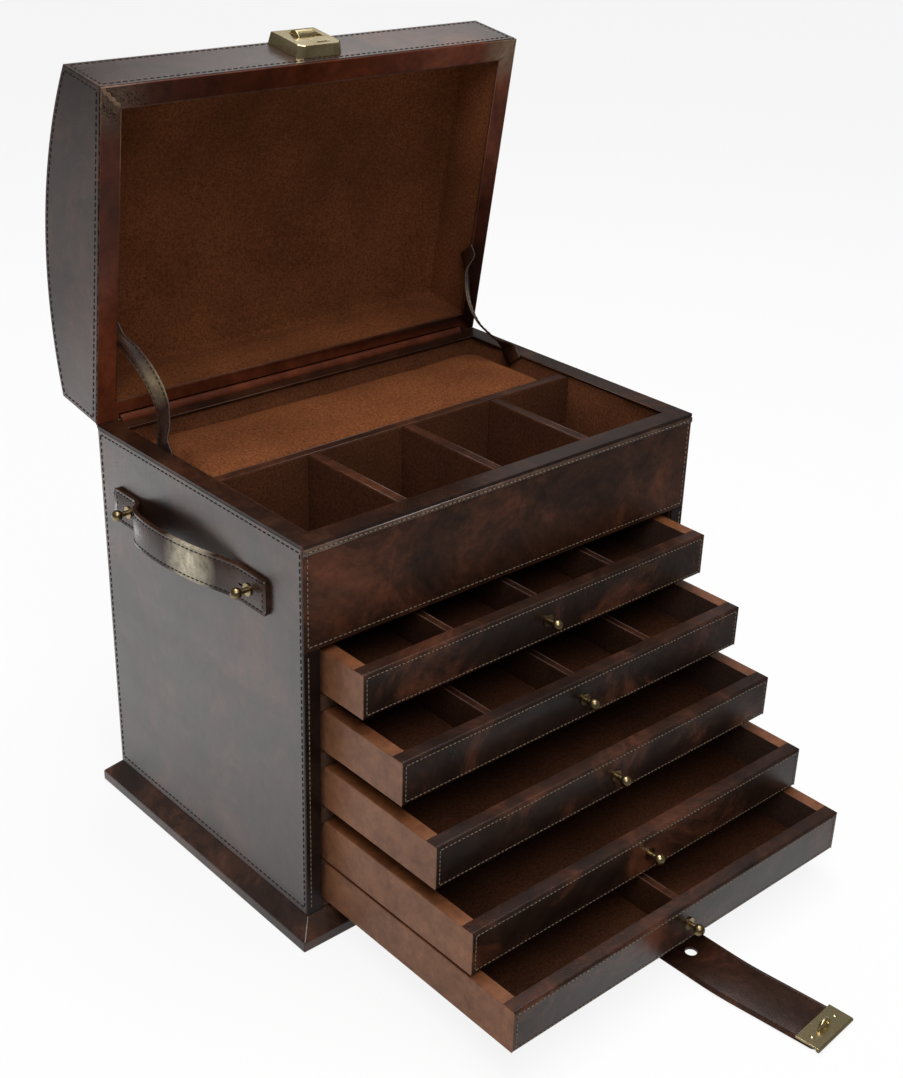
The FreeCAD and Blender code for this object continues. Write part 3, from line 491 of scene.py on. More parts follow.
def band_section(width, thick, inset, layers):
    """Half-rounded leather edges, a sewn channel near each edge, and a parting line between layers."""
    half, edge = width / 2, thick / 2
    soft = min(0.6, thick * 0.35)
    sink, lip = 0.3, 0.9
    part = [(half - 0.25, 0.0)] if layers > 1 else []
    right = [(half - soft, -edge), (half, -edge + soft)] + part + [(half, edge - soft), (half - soft, edge)]
    right += [(half - inset + lip, edge), (half - inset, edge - sink), (half - inset - lip, edge)]
    return right + [(-u, v) for u, v in reversed(right)]


def make_band(name, line, sides, width, thick, material, inset, layers=1, end_round=0.0, **place):
    """A leather band along a line, with the direction of its width at each point."""
    lengths = [0.0]
    for near, far in zip(line, line[1:]):
        lengths.append(lengths[-1] + (far - near).length)
    rings = []
    for point, along, across, run in zip(line, directions(line), sides, lengths):
        up = across.cross(along).normalized()
        gap = min(run, lengths[-1] - run)
        short = end_round - math.sqrt(end_round ** 2 - (end_round - gap) ** 2) if gap < end_round else 0
        section = band_section(width - 2 * short, thick, inset, layers)
        rings.append([point + across * u + up * v for u, v in section])
    return piece_of(name, *skin(rings), material, "dark_leather", **place)


DASH = ((-1.0, 0.3), (-0.72, 0.85), (0.0, 1.0), (0.72, 0.85), (1.0, 0.3))


def sew(name, lines, material, body=None, fine=1.0):
    """A row of stitches along each line. A line is its points and the way its surface faces."""
    stitches = []
    for line, up in lines:
        lengths = [(far - near).length for near, far in zip(line, line[1:])]
        total = sum(lengths)
        count = max(1, round(total / (fine * STITCH_PITCH)))
        spot, passed = 0, 0.0
        for k in range(count):
            run = (k + 0.5) * total / count
            while run > passed + lengths[spot] and spot < len(lengths) - 1:
                passed += lengths[spot]
                spot += 1
            along = (line[spot + 1] - line[spot]).normalized()
            centre = line[spot] + along * (run - passed)
            face_up = up(centre) if callable(up) else up
            side = along.cross(face_up)
            rings = []
            for share, size in DASH:
                middle = centre + along * (share * fine * STITCH_LENGTH / 2)
                wide, high = size * fine * STITCH_WIDTH / 2, size * fine * STITCH_HEIGHT / 2
                rings.append([middle + side * (u * wide) + face_up * (v * high) for u, v in circle(1, 6)])
            stitches.append(skin(rings))
    return piece_of(name, *joined(stitches), material, "dark_leather", body=body)


def bead(name, lines, material, body, width, height, slot="dark_leather"):
    """A low rounded ridge along each line. A line is its points and the way its surface faces."""
    ridges = []
    for line, up in lines:
        rings = []
        for centre, along in zip(line, directions(line)):
            side = along.cross(up)
            rings.append([centre + side * (u * width / 2) + up * (v * height) for u, v in circle(1, 10)])
        ridges.append(skin(rings))
    piece_of(name, *joined(ridges), material, slot, body=body)


def frame_lines(corner, first, second, up):
    """The four sides of a rectangle, from a corner along two edges."""
    a, b, c, d = corner, corner + first, corner + first + second, corner + second
    return [([near, far], up) for near, far in ((a, b), (b, c), (c, d), (d, a))]


def moved(matrix, lines):
    """Lines taken from a body's own frame to the shared one."""
    turn = matrix.to_3x3()
    return [([matrix @ point for point in line], turn @ up) for line, up in lines]


def dress(name, material, edge, sharp=38):
    """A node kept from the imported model: softened edges, clean shading and its material."""
    node = NODES[name]
    mesh = node.data
    for attribute in ("custom_normal", "sharp_edge", "sharp_face"):
        if attribute in mesh.attributes:
            mesh.attributes.remove(mesh.attributes[attribute])
    smooth_faces(mesh)
    set_material(mesh, material)
    modify(node, "weld", "WELD", merge_threshold=1e-5)
    modify(node, "flat", "DECIMATE", decimate_type="DISSOLVE", angle_limit=math.radians(0.5))
    modify(node, "edges", "BEVEL", width=edge * MM, segments=3, limit_method="ANGLE",
           angle_limit=math.radians(sharp), harden_normals=True)
    modify(node, "shading", "WEIGHTED_NORMAL", keep_sharp=True)


def paint(name, material):
    """A node kept with its own shading and its edges as they are."""
    set_material(NODES[name].data, material)


DRESSED = (
    (PANEL, 0.7, ("side_panel_left", "side_panel_right", "back_panel")),
    (PANEL, 0.8, ("lid_front_wall", "lid_back_wall", "lid_end_left", "lid_end_right", "lid_dome")),
    (FRONT, 0.5, ("upper_front_facing", "upper_front_panel")),
    (STILE, 0.5, ("stile_facings",)),
    (LID_TRIM, 0.5, ("lid_rim",)),
    (TRAY_PARTITION, 0.8, ("tray_long_divider", "tray_cross_dividers")),
    (BOARD, 0.3, ("tray_floor", "drawer_shelves", "floor_runners")),
    (STEEL, 0.15, ("hinge_leaf_case", "hinge_leaf_lid", "hinge_pin")),
    (BRASS, 0.3, ("hasp_plate",)),
    (BASE, 0.8, ("plinth",)),
)
PAINTED = {"hinge_cover": LID_TRIM, "tray_rim": TRIM, "hasp_staple": BRASS, "lock_button": BRASS,
           "handle_studs": STUD_BRASS}


def dress_nodes():
    """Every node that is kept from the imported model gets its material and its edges."""
    for material, edge, names in DRESSED:
        for name in names:
            dress(name, material, edge)
    for name, material in PAINTED.items():
        paint(name, material)
    dress("lock_body", BRASS, 0.6, sharp=25)
    for number in DRAWERS:
        dress(f"drawer_{number}_front", DRAWER_FACE, 0.3)
        dress(f"drawer_{number}_box", TAN, 0.4)
        dress(f"drawer_{number}_floor", DRAWER_SUEDE, 0.3)
        paint(f"drawer_{number}_knob", STUD_BRASS)
        if number in DRAWER_CELLS:
            dress(f"drawer_{number}_dividers", DRAWER_PARTITION, 0.7)


def rounded_ring(half_x, half_y, corner, middle_y, height):
    """Points round a rectangle with rounded corners. height gives each point's Z from its Y."""
    corner = min(corner, half_x, half_y)
    ring = []
    for quarter, (side_x, side_y) in enumerate(((1, 1), (-1, 1), (-1, -1), (1, -1))):
        for k in range(7):
            turn = math.pi / 2 * (quarter + k / 6)
            x = side_x * (half_x - corner) + corner * math.cos(turn)
            y = middle_y + side_y * (half_y - corner) + corner * math.sin(turn)
            ring.append(Vector((x, y, height(y))))
    return ring


def lined_box(name, middle_y, rim, far, matrix, cove, material, **place):
    """A suede lining: walls from the rim to a far surface, with soft coves between them."""
    half_x, half_y = (half - WALL - LINING for half in (HALF_WIDTH, HALF_DEPTH))
    way = 1 if far(middle_y) > rim else -1
    rings = [rounded_ring(half_x, half_y, cove, middle_y, lambda y: rim)]
    for k in range(6):
        turn = math.pi / 2 * k / 5
        inset, short = cove * (1 - math.cos(turn)), cove * (1 - math.sin(turn))
        rings.append(rounded_ring(half_x - inset, half_y - inset, cove + 1, middle_y,
                                  lambda y: far(y) - way * short))
    steps = 14
    for k in range(1, steps + 1):
        inset = cove + (half_y - cove - 0.5) * k / steps
        rings.append(rounded_ring(half_x - inset, half_y - inset, cove + 1, middle_y, far))
    points, faces = skin(rings, closed_ends=False)
    faces.append(tuple(range(len(points) - len(rings[0]), len(points))))
    lining = piece_of(name, [matrix @ point for point in points], faces, material, "suede", **place)
    modify(lining, "thickness", "SOLIDIFY", thickness=0.8 * LINING * MM, offset=way)


def lid_inner(y):
    """Height of the lid's inner dome at a place along its depth, in the lid's own frame."""
    radius = DOME_RADIUS - LID_BOARD - LINING
    return DOME_CENTRE + math.sqrt(radius ** 2 - (y + HALF_DEPTH) ** 2)


def make_linings():
    """The suede inside the tray and inside the lid."""
    tray_cove, lid_cove, sink = 1.5, 4, 0.1
    lined_box("tray_suede", 0, BOARD_TOP, lambda y: TRAY_FLOOR - sink, HERE, tray_cove, TRAY_SUEDE,
              body="case", nodes=("tray_lining",))
    lined_box("lid_suede", -HALF_DEPTH, LID_LOW + LID_TRIM_THICK, lid_inner, LID, lid_cove, LID_SUEDE,
              body="lid", nodes=("lid_lining",))


def make_pad():
    """The suede cushion in the tray's rear section, filled out by a short cloth simulation, in metres."""
    source = NODES["tray_pad"]
    low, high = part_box("tray_pad")
    middle = (Vector(low) + Vector(high)) / 2
    shrink, lift, cap, voxel, gap, swell = 0.0016, 0.002, 0.003, 0.005, 0.003, 0.05
    pressure, steps = 4, 20
    size = Vector(high) - Vector(low)
    scale = Matrix.Diagonal([1 - 2 * shrink / side for side in size]).to_4x4()
    mesh = source.data.copy()
    raised = Matrix.Translation(middle + Vector((0, 0, lift / 2)))
    mesh.transform(raised @ scale @ Matrix.Translation(-middle))
    for vertex in mesh.vertices:
        share = (vertex.co.z - low[2]) / size.z
        vertex.co.x = max(low[0] + gap, min(high[0] - gap, vertex.co.x * (1 + swell * share)))
    set_material(mesh, PAD_SUEDE)
    pad = add_object("pad", mesh)
    modify(pad, "grid", "REMESH", mode="VOXEL", voxel_size=voxel)
    bake(pad)
    still = [vertex.co.copy() for vertex in pad.data.vertices]
    cloth = modify(pad, "cloth", "CLOTH").settings
    cloth.use_pressure = True
    cloth.uniform_pressure_force = pressure
    cloth.effector_weights.gravity = 0
    for step in range(1, steps + 1):
        bpy.context.scene.frame_set(step)
    bake(pad)
    bpy.context.scene.frame_set(1)
    for vertex, start in zip(pad.data.vertices, still):
        move = vertex.co - start
        if move.length > cap:
            vertex.co = start + move.normalized() * cap
    smooth_faces(pad.data)
    modify(pad, "smooth", "SUBSURF", levels=1, render_levels=1)
    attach(pad, "case")
    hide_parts("tray_pad")


HANDLE_LINE = ((94, 1.6), (84, 1.6), (75, 1.6), (67, 2.0), (62, 4.2), (58, 8.4), (52, 11.4), (44, 13.0),
               (32, 14.0), (18, 14.0), (4, 12.8), (-12, 10.6), (-26, 7.4), (-38, 4.2), (-49, 2.0), (-58, 1.6),
               (-70, 1.6), (-81, 1.6))


def make_handles():
    """A bowed two-layer leather handle on each side, with keyhole slits for its ball studs."""
    inset, slit, slit_length, eye, reach = 2.7, 0.8, 10, 2.6, 6
    for side, sign in SIDES:
        knots = [Vector((sign * (HALF_WIDTH + out), y, HANDLE_HEIGHT)) for y, out in HANDLE_LINE]
        line = smooth_line(knots)
        across = Z_AXIS * sign
        cutters = []
        for place, way in zip(STUD_PLACES, (-1, 1)):
            centre = Vector((sign * HALF_WIDTH, place, HANDLE_HEIGHT))
            cutters.append(prism(centre, X_AXIS, Y_AXIS, circle(eye, 20), reach))
            slot_outline = [(0, -slit), (slit_length * way, -slit), (slit_length * way, slit), (0, slit)]
            if way < 0:
                slot_outline.reverse()
            cutters.append(prism(centre, X_AXIS, Y_AXIS, slot_outline, reach))
        handle = make_band(f"handle_strap_{side}", line, [across] * len(line), HANDLE_WIDTH, HANDLE_THICK,
                           HANDLE_BAND, inset, layers=2, end_round=4, body="case", nodes=(f"handle_{side}",))
        carve(handle, cutters)
        edge = HANDLE_WIDTH / 2 - inset
        face = HANDLE_THICK / 2 - STITCH_SINK
        tops = [point + across.cross(along) * face for point, along in zip(line, directions(line))]
        inner = tops[2:-2]
        facing = X_AXIS * sign
        lines = [([point + Z_AXIS * way * edge for point in inner], facing) for way in (1, -1)]
        short = Z_AXIS * (edge - 2)
        for end in (inner[0], inner[-1]):
            lines.append(([end + short, end - short], facing))
        sew(f"handle_stitches_{side}", lines, THREAD_DARK, "case")


STRAP_ON_BASE, STRAP_ON_GROUND = PLINTH_TOP + STRAP_THICK / 2, STRAP_THICK / 2 + 0.05
STRAP_LINE = [(run, STRAP_ON_BASE) for run in (-STRAP_GLUED, -20, 2)]
STRAP_LINE += [(12, 18.6), (24, 15.9), (45, 10.0), (64, 4.4), (78, 1.5)]
STRAP_LINE += [(run, STRAP_ON_GROUND) for run in (92, 140, 175, 193, 210, 240, STRAP_TIP)]


def strap_aside(run):
    """How far a used strap has bent to the left of a straight line, at a run from the case's front."""
    share = max(0, (run - STRAP_BOW_FROM) / (STRAP_TIP - STRAP_BOW_FROM))
    return -STRAP_BOW * math.sin(math.pi * share) ** 2


def make_strap():
    """The closing strap, from under the lowest drawer to its brass tab."""
    inset, step, end_round, reach, bend = 2.8, 3, 1.5, 6, 8
    sewn_from, sewn_to = -40, 258
    turn = STRAP.to_3x3()
    away, across = turn @ -Y_AXIS, turn @ X_AXIS
    knots = [STRAP @ Vector((strap_aside(run), -run, height)) for run, height in STRAP_LINE]
    line = smooth_line(knots, step)
    strap = make_band("closing_strap", line, [-across] * len(line), STRAP_WIDTH, STRAP_THICK, CLOSING,
                      inset, end_round=end_round, nodes=("strap_root", "strap_free"))
    cutters = []
    for run in STRAP_HOLES:
        height = next(point.z for point in line if (point - knots[0]).dot(away) >= run + STRAP_GLUED)
        centre = STRAP @ Vector((strap_aside(run), -run, height))
        cutters.append(prism(centre, Z_AXIS, X_AXIS, circle(STRAP_HOLE_RADIUS), reach))
    carve(strap, cutters)
    face = STRAP_THICK / 2 - STITCH_SINK
    tops = [point + (-across).cross(along) * face for point, along in zip(line, directions(line))]
    sewn = [point for point in tops if sewn_from < (point - STRAP @ Vector()).dot(away) < sewn_to]
    edge = STRAP_WIDTH / 2 - inset
    lines = [([point + across * side * edge for point in sewn], Z_AXIS) for side in (-1, 1)]
    stitches = sew("strap_stitches", lines, THREAD_DARK)
    for piece in (strap, stitches):
        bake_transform(piece)
    make_rivets()


def make_rivets():
    """Two small domed rivet heads on the strap's brass tab."""
    aside, run, height, radius, rise, sink = 13, 270, 3.4, 1.5, 0.45, 0.1
    rows, rounding = 5, math.pi / 2 / 4.4
    heads = []
    for side in (-1, 1):
        centre = STRAP @ Vector((side * aside, -run, height - sink))
        rings = []
        for k in range(rows):
            wide, high = radius * math.cos(rounding * k), radius * rise * math.sin(rounding * k)
            rings.append([centre + Vector((u * wide, v * wide, high)) for u, v in circle(1, 16)])
        heads.append(skin(rings))
    piece_of("hasp_rivets", *joined(heads), BRASS, "brass", body="strap_end")


STAY_LINE = ((-8, 0), (0, 0.04), (7, 0.34), (14, 0.56), (25, 0.84), (38, 1), (51, 0.94), (61, 0.66),
             (69, 0.36), (76, 0.04), (87, 0))
STAY_BOWS = {"left": 11.5, "right": 19}
STAY_TWISTS = {"left": math.radians(9), "right": math.radians(45)}


def make_stays():
    """Two slack leather stays, bowed between the lid and the case. One bows further than the other."""
    room, turned_by, bend = 0.3, 0.16, 6
    seat = STAY_THICK / 2
    lean = math.radians(LID_ANGLE)
    on_lid = Vector((0, HALF_DEPTH - STAY_ON_LID * math.cos(lean),
                     AXIS_HEIGHT + STAY_ON_LID * math.sin(lean)))
    on_case = Vector((0, HALF_DEPTH - STAY_ON_CASE, RIM_TOP - room))
    along = (on_case - on_lid).normalized()
    for side, sign in SIDES:
        wall = Vector((sign * (HALF_WIDTH - TRIM_WIDTH - room), 0, 0))
        inward = X_AXIS * -sign
        bow = STAY_BOWS[side]
        knots = [wall + on_lid + along * run + inward * (seat + share * bow) for run, share in STAY_LINE]
        flat = along.cross(inward)
        if flat.z < 0:
            flat.negate()
        line = smooth_line(knots)
        sides = []
        for point in line:
            share = max(0, min(1, (point - wall - on_lid).dot(along) / (on_case - on_lid).length))
            ease = min(1, share / turned_by, (1 - share) / turned_by)
            twist = STAY_TWISTS[side] * ease ** 2 * (3 - 2 * ease)
            sides.append((flat * math.cos(twist) + inward * math.sin(twist)) * sign)
        stay = make_band(f"lid_stay_{side}", line, sides, STAY_WIDTH, STAY_THICK, STAY_BAND, STAY_INSET,
                         nodes=(f"stay_{side}",))
        stay.data.set_sharp_from_angle(angle=math.radians(50))
        edge, face = STAY_WIDTH / 2 - STAY_INSET, seat - STITCH_SINK
        lines = []
        for way in (-1, 1):
            row = []
            for point, heading, across in zip(line, directions(line), sides):
                row.append(point + across * way * edge + across.cross(heading).normalized() * face)
            lines.append((row, -inward))
        stitches = sew(f"lid_stay_stitches_{side}", lines, THREAD_DARK)
        for piece in (stay, stitches):
            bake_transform(piece)


def make_case_seams():
    """Sewn lines of the case: both sides, the back, the upper front and the stiles."""
    foot, stile_gap, back_inset, back_top, edge_gap = 5, 3, 18, 262, 0.3
    low, high = PLINTH_TOP + foot, BOARD_TOP - SEAM_INSET
    front, rear = -HALF_DEPTH + SEAM_INSET, HALF_DEPTH - SEAM_INSET
    for side, sign in SIDES:
        lines = frame_lines(Vector((sign * HALF_WIDTH, front, low)), Y_AXIS * (rear - front),
                            Z_AXIS * (high - low), X_AXIS * sign)
        sew(f"side_stitches_{side}", lines, THREAD_DARK, "case", LARGE_STITCH)
    half, bottom = HALF_WIDTH - SEAM_INSET, SEAM + SEAM_INSET
    lines = frame_lines(Vector((-half, -HALF_DEPTH, bottom)), X_AXIS * 2 * half,
                        Z_AXIS * (FRONT_EDGE_HEIGHT - bottom), -Y_AXIS)
    crest = -HALF_DEPTH - FRONT_EDGE_RISE + STITCH_SINK
    lines[2] = ([Vector((point.x, crest, point.z)) for point in lines[2][0]], -Y_AXIS)
    # A rounded edge along the front's top. Its paler colour is in part a painted highlight.
    end = HALF_WIDTH - edge_gap
    ridge = [Vector((x, -HALF_DEPTH, FRONT_EDGE_HEIGHT)) for x in (-end, end)]
    bead("front_turned_edge", [(ridge, -Y_AXIS)], FRONT_EDGE, "case", FRONT_EDGE_WIDTH, FRONT_EDGE_RISE)
    for _, sign in SIDES:
        lines.append(([Vector((sign * half, -HALF_DEPTH, z)) for z in (low, SEAM - stile_gap)], -Y_AXIS))
    sew("front_stitches", lines, THREAD_PALE, "case", FRONT_STITCH)
    # A dark ribbon under each row of stitches: painted shade of the sewn channel.
    bead("front_groove_shade", lines, CHANNEL_SHADE, "case", GROOVE_WIDTH, GROOVE_RISE)
    inner = HALF_WIDTH - back_inset
    lines = frame_lines(Vector((-inner, HALF_DEPTH, low)), X_AXIS * 2 * inner, Z_AXIS * (back_top - low),
                        Y_AXIS)
    sew("back_stitches", lines, THREAD_DARK, "case")


def lid_arc(x, radius, first, last, count=36):
    """Points along the dome's curve at one place across the lid, between two places along its depth."""
    start, stop = [math.asin((y + HALF_DEPTH) / radius) for y in (first, last)]
    arc = []
    for k in range(count + 1):
        turn = start + (stop - start) * k / count
        arc.append(Vector((x, -HALF_DEPTH + radius * math.sin(turn), DOME_CENTRE + radius * math.cos(turn))))
    return arc


def make_lid_seams():
    """Sewn lines of the lid: its ends, front wall, back wall and dome."""
    low, back_low = LID_LOW + LID_TRIM_THICK + SEAM_INSET, 17
    front, rear = -2 * HALF_DEPTH + SEAM_INSET, -SEAM_INSET
    for side, sign in SIDES:
        x = sign * HALF_WIDTH
        arc = lid_arc(x, DOME_RADIUS - SEAM_INSET, front, rear)
        first, last = Vector((x, front, low)), Vector((x, rear, low))
        path = ([first, arc[0]], arc, [arc[-1], last], [last, first])
        lines = moved(LID, [(line, X_AXIS * sign) for line in path])
        sew(f"lid_end_stitches_{side}", lines, THREAD_DARK, "lid", LARGE_STITCH)
    inner, top = HALF_WIDTH - SEAM_INSET, LID_WALL_TOP - SEAM_INSET
    face = -2 * HALF_DEPTH - LID_COVER
    walls = frame_lines(Vector((-inner, face, low)), X_AXIS * 2 * inner, Z_AXIS * (top - low), -Y_AXIS)
    walls.append(([Vector((-inner, 0, top)), Vector((inner, 0, top))], Y_AXIS))
    for _, sign in SIDES:
        walls.append(([Vector((sign * inner, 0, z)) for z in (top, back_low)], Y_AXIS))
    sew("lid_wall_stitches", moved(LID, walls), THREAD_DARK, "lid", LARGE_STITCH)
    hub = LID @ Vector((0, -HALF_DEPTH, DOME_CENTRE))

    def outward(point):
        return Vector((0, point.y - hub.y, point.z - hub.z)).normalized()

    over = [lid_arc(sign * inner, DOME_RADIUS, front, rear) for _, sign in SIDES]
    for place in (0, -1):
        over.append([over[0][place], over[1][place]])
    lines = [([LID @ point for point in line], outward) for line in over]
    sew("dome_stitches", lines, THREAD_DARK, "lid")


def make_drawer_seams():
    """Sewn edges of the drawer fronts, and the turned edges along their partitions."""
    for number in DRAWERS:
        body = f"drawer_{number}"
        low, high = box_of(f"{body}_front")
        gap = DRAWER_SEAM_INSET
        corner = Vector((low.x + gap, low.y, low.z + gap))
        lines = frame_lines(corner, X_AXIS * (high.x - low.x - 2 * gap),
                            Z_AXIS * (high.z - low.z - 2 * gap), -Y_AXIS)
        sew(f"{body}_stitches", lines, THREAD_PALE, body, DRAWER_STITCH)
        # A dark ribbon under the stitches: painted shade of the sewn channel.
        bead(f"{body}_groove_shade", lines, CHANNEL_SHADE, body, GROOVE_WIDTH, GROOVE_RISE)
        if number in DRAWER_CELLS:
            make_partition_edges(body, DRAWER_CELLS[number])


def make_partition_edges(body, cells):
    """Turned edges along the tops of a drawer's partitions, which part it into equal cells."""
    low, high = box_of(f"{body}_dividers")
    pitch = (DRAWER_INSIDE + DRAWER_PARTITION_THICK) / cells
    edges = []
    for k in range(1, cells):
        for side in (-1, 1):
            x = pitch * (k - cells / 2) + side * DRAWER_PARTITION_EDGE
            edges.append(([Vector((x, y, high.z)) for y in (low.y, high.y)], Z_AXIS))
    bead(f"{body}_partition_edges", edges, TRIM_EDGE, body, TURNED_WIDTH, DRAWER_TURNED_RISE, "trim_leather")


def sheet_of(name, low, high, material, slot, body, edge, matrix=HERE):
    """A thin sheet of leather between two corners, its edges turned."""
    xs, ys, zs = zip(low, high)
    ring = [(xs[0], ys[0]), (xs[1], ys[0]), (xs[1], ys[1]), (xs[0], ys[1])]
    rings = [[matrix @ Vector((x, y, z)) for x, y in ring] for z in zs]
    piece = piece_of(name, *skin(rings), material, slot, body=body)
    modify(piece, "turned", "BEVEL", width=edge * MM, segments=3, harden_normals=True)


def make_drawer_sides():
    """The tan leather that runs along each side of a drawer and over the end of its front."""
    thick, edge, inset = 0.3, 0.12, 0.25
    for number in DRAWERS:
        body = f"drawer_{number}"
        low, high = box_of(f"{body}_front")
        rear = box_of(f"{body}_box")[1].y
        for side, sign in SIDES:
            xs = sorted((sign * high.x, sign * (high.x + thick)))
            sheet_of(f"{body}_side_leather_{side}", (xs[0], low.y + inset, low.z + inset),
                     (xs[1], rear, high.z - inset), TAN, "side_leather", body, edge)


def make_lid_cover():
    """The leather over the lid's front wall, and the gathered folds at the front corners of its trim."""
    front = -2 * HALF_DEPTH
    gap, edge, sink = 0.15, 0.2, 0.1
    sheet_of("lid_front_leather", (-HALF_WIDTH + gap, front - LID_COVER, LID_LOW + LID_TRIM_THICK + sink),
             (HALF_WIDTH - gap, front + sink, LID_WALL_TOP - sink), PANEL, "dark_leather", "lid", edge, LID)
    start, count, sway_by, sway_turn, width, rise = 0.8, 12, 0.45, 1.9, 2.6, 0.35
    folds = []
    for _, sign in SIDES:
        line = []
        for k in range(count + 1):
            run = start + (TRIM_WIDTH - 2 * start) * k / count
            sway = sway_by * math.sin(sway_turn * k)
            line.append(Vector((sign * (HALF_WIDTH - run - sway), front + run - sway, LID_LOW)))
        folds.append((line, -Z_AXIS))
    bead("lid_corner_folds", moved(LID, folds), LID_TRIM, "lid", width, rise, "trim_leather")


def make_hinge_ends():
    """Leather packing that fills the narrow gap beside each end of the hinge cover."""
    near, far, before, behind, below, above, edge = 0.3, 0.4, 1, 1.5, 1.7, 0.25, 0.15
    cover_end = box_of("hinge_cover")[1].x
    for side, sign in SIDES:
        xs = sorted((sign * (cover_end + near), sign * (HALF_WIDTH - far)))
        sheet_of(f"hinge_end_{side}", (xs[0], HALF_DEPTH - before, RIM_TOP - below),
                 (xs[1], HALF_DEPTH + behind, RIM_TOP + above), TRIM, "trim_leather", "case", edge)


def make_trim_edges():
    """Turned edges along the inside of both trims, and along the tray's partitions."""
    room, sink, long_inset, cross_gap = 0.2, 0.5, 0.7, 1
    inner_x, inner_y = HALF_WIDTH - TRIM_WIDTH - room, HALF_DEPTH - TRIM_WIDTH - room
    wide, deep = X_AXIS * 2 * inner_x, Y_AXIS * 2 * inner_y
    tray = frame_lines(Vector((-inner_x, -inner_y, RIM_TOP - sink)), wide, deep, Z_AXIS)
    low, high = box_of("tray_long_divider")
    for y in (low.y + long_inset, high.y - long_inset):
        tray.append(([Vector((-inner_x, y, high.z)), Vector((inner_x, y, high.z))], Z_AXIS))
    cross_front = box_of("tray_cross_dividers")[0].y + cross_gap
    for middle in TRAY_PARTITIONS:
        for side in (-1, 1):
            x = middle + side * TRAY_PARTITION_EDGE
            tray.append(([Vector((x, y, high.z)) for y in (cross_front, low.y)], Z_AXIS))
    bead("tray_turned_edges", tray, TRIM_EDGE, "case", TURNED_WIDTH, TURNED_RISE, "trim_leather")
    lid = frame_lines(Vector((-inner_x, -HALF_DEPTH - inner_y, LID_LOW + sink)), wide, deep, -Z_AXIS)
    bead("lid_turned_edges", moved(LID, lid), TRIM_EDGE, "lid", TURNED_WIDTH, TURNED_RISE, "trim_leather")


# The floor's sizes are in millimetres, the rest of the stage in metres.
# Each pool of light is its centre, its reach and its strength.
FLOOR_REACH, FLOOR_DROP = 6000, -0.6
FLOOR_TONE, FLOOR_GLOW, FLOOR_DIM = 0.85, 0.88, 0.1
CEILING, HORIZON, FILL = 0.14, 0.93, 0.28
POOLS = (((-0.5, 0.42, 0), (0.82, 1.1, 1), 1.0), ((0.06, -0.31, 0), (0.34, 0.11, 1), 1.0),
         ((-0.27, 0.56, 0), (0.13, 0.11, 1), 4.0), ((-1.0, 1.7, 0), (0.75, 1.2, 1), 0.5))
POOL_EDGE = 0.75
LAMPS = (("key", (-0.7, -1.1, 1.9), 1.4, 19), ("top", (0.2, 0.1, 2.2), 1.4, 30),
         ("back", (0.96, 0.95, 1.52), 0.9, 2.4))
LAMP_AIM = Vector((0, -0.06, 0.2))


def make_stage():
    """A pale floor that keeps the object's shadow, a white surround and soft lamps."""
    around = ((-1, -1), (1, -1), (1, 1), (-1, 1))
    corners = [(x * FLOOR_REACH, y * FLOOR_REACH, FLOOR_DROP) for x, y in around]
    mesh = mesh_of("floor", corners, [(0, 1, 2, 3)])
    floor = add_object("floor", mesh)
    material = bpy.data.materials.new("pale_floor")
    nodes = Nodes(material)
    nodes.tree.nodes.remove(nodes.tree.nodes["Principled BSDF"])
    matte = nodes.add("ShaderNodeBsdfDiffuse", {"Color": grey(FLOOR_TONE)})
    seen = nodes.add("ShaderNodeLightPath").outputs["Is Camera Ray"]
    reflected = nodes.math("MULTIPLY", nodes.math("LESS_THAN", seen, 0.5), lit_floor(nodes))
    glow = nodes.add("ShaderNodeEmission", {"Strength": nodes.math("MAXIMUM", seen, reflected)})
    mix_shaders(nodes, FLOOR_GLOW, matte, glow, "Material Output")
    mesh.materials.append(material)

    world = bpy.data.worlds.new("studio")
    bpy.context.scene.world = world
    nodes = Nodes(world)
    backdrop = nodes.tree.nodes["Background"]
    seen = nodes.add("ShaderNodeLightPath").outputs["Is Camera Ray"]
    distance = nodes.math("MULTIPLY", seen, HORIZON)
    nodes.give(backdrop.inputs["Color"], grey(1))
    nodes.give(backdrop.inputs["Strength"], nodes.math("MAXIMUM", distance, CEILING))
    fill = nodes.add("ShaderNodeBackground", {"Color": grey(1), "Strength": FILL})
    mix_shaders(nodes, 1.0, fill, backdrop, "World Output")

    for name, place, size, power in LAMPS:
        light = bpy.data.lights.new(name, "AREA")
        lamp = add_object(name, with_settings(light, shape="DISK", size=size, energy=power))
        lamp.location = place
        lamp.rotation_euler = (LAMP_AIM - Vector(place)).to_track_quat("-Z", "Y").to_euler()


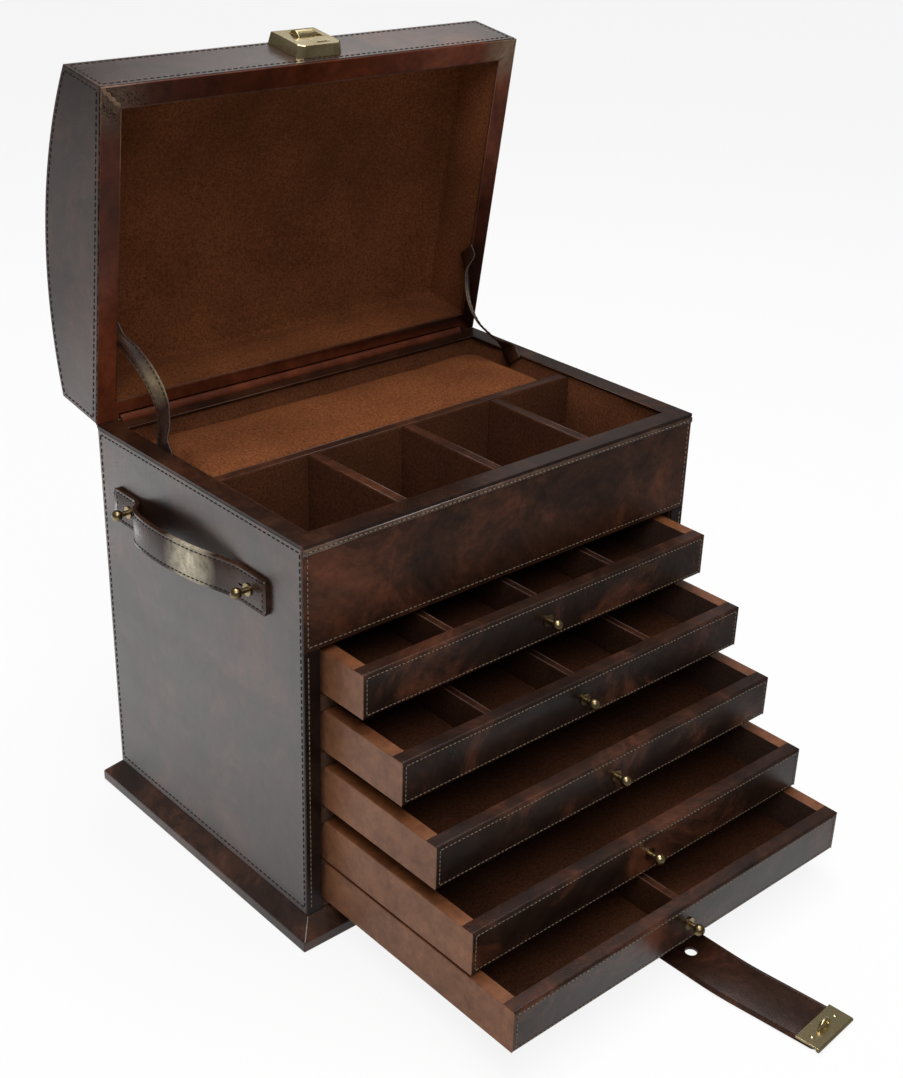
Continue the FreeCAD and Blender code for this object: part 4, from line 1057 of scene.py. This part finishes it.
def lit_floor(nodes):
    """How brightly reflections see each place on the floor: the strongest of a few soft pools."""
    place = nodes.add("ShaderNodeTexCoord").outputs["Object"]
    most = FLOOR_DIM
    for centre, reach, strength in POOLS:
        sockets = {"Value": nodes.near(place, centre, reach), "From Max": POOL_EDGE, "To Max": strength}
        fade = nodes.add("ShaderNodeMapRange", sockets, interpolation_type="SMOOTHSTEP")
        most = nodes.math("MAXIMUM", fade.outputs["Result"], most)
    return most


def mix_shaders(nodes, share, first, second, output):
    """The second shader for a share of the rays from the camera, mirrors and glass, or else the first."""
    rays = nodes.add("ShaderNodeLightPath").outputs
    direct = rays["Is Camera Ray"]
    for name in ("Is Glossy Ray", "Is Transmission Ray"):
        direct = nodes.math("MAXIMUM", direct, rays[name])
    sockets = {0: nodes.math("MULTIPLY", direct, share), 1: first.outputs[0], 2: second.outputs[0]}
    blend = nodes.add("ShaderNodeMixShader", sockets)
    nodes.give(nodes.tree.nodes[output].inputs["Surface"], blend.outputs[0])


# Angles in degrees, place in metres, lens and sensor in millimetres
CAMERA_AZIMUTH, CAMERA_ELEVATION, CAMERA_ROLL = -42.2011, 26.3742, 1.8757
CAMERA_PLACE, CAMERA_LENS, CAMERA_SENSOR = (-0.6563, -0.7785, 0.7007), 53.24, 36


def make_camera():
    """A camera at the photograph's viewpoint."""
    lens = with_settings(bpy.data.cameras.new("camera"), sensor_width=CAMERA_SENSOR, lens=CAMERA_LENS)
    camera = add_object("camera", lens)
    turn = turned(CAMERA_AZIMUTH, "Z") @ turned(90 - CAMERA_ELEVATION, "X") @ turned(CAMERA_ROLL, "Z")
    camera.matrix_world = Matrix.Translation(CAMERA_PLACE) @ turn
    bpy.context.scene.camera = camera


def main():
    """Builds the scene."""
    bpy.context.scene.view_settings.view_transform = "Standard"
    dress_nodes()
    make_linings()
    make_pad()
    make_handles()
    make_strap()
    make_stays()
    make_case_seams()
    make_lid_seams()
    make_drawer_seams()
    make_drawer_sides()
    make_lid_cover()
    make_hinge_ends()
    make_trim_edges()
    make_stage()
    make_camera()


main()
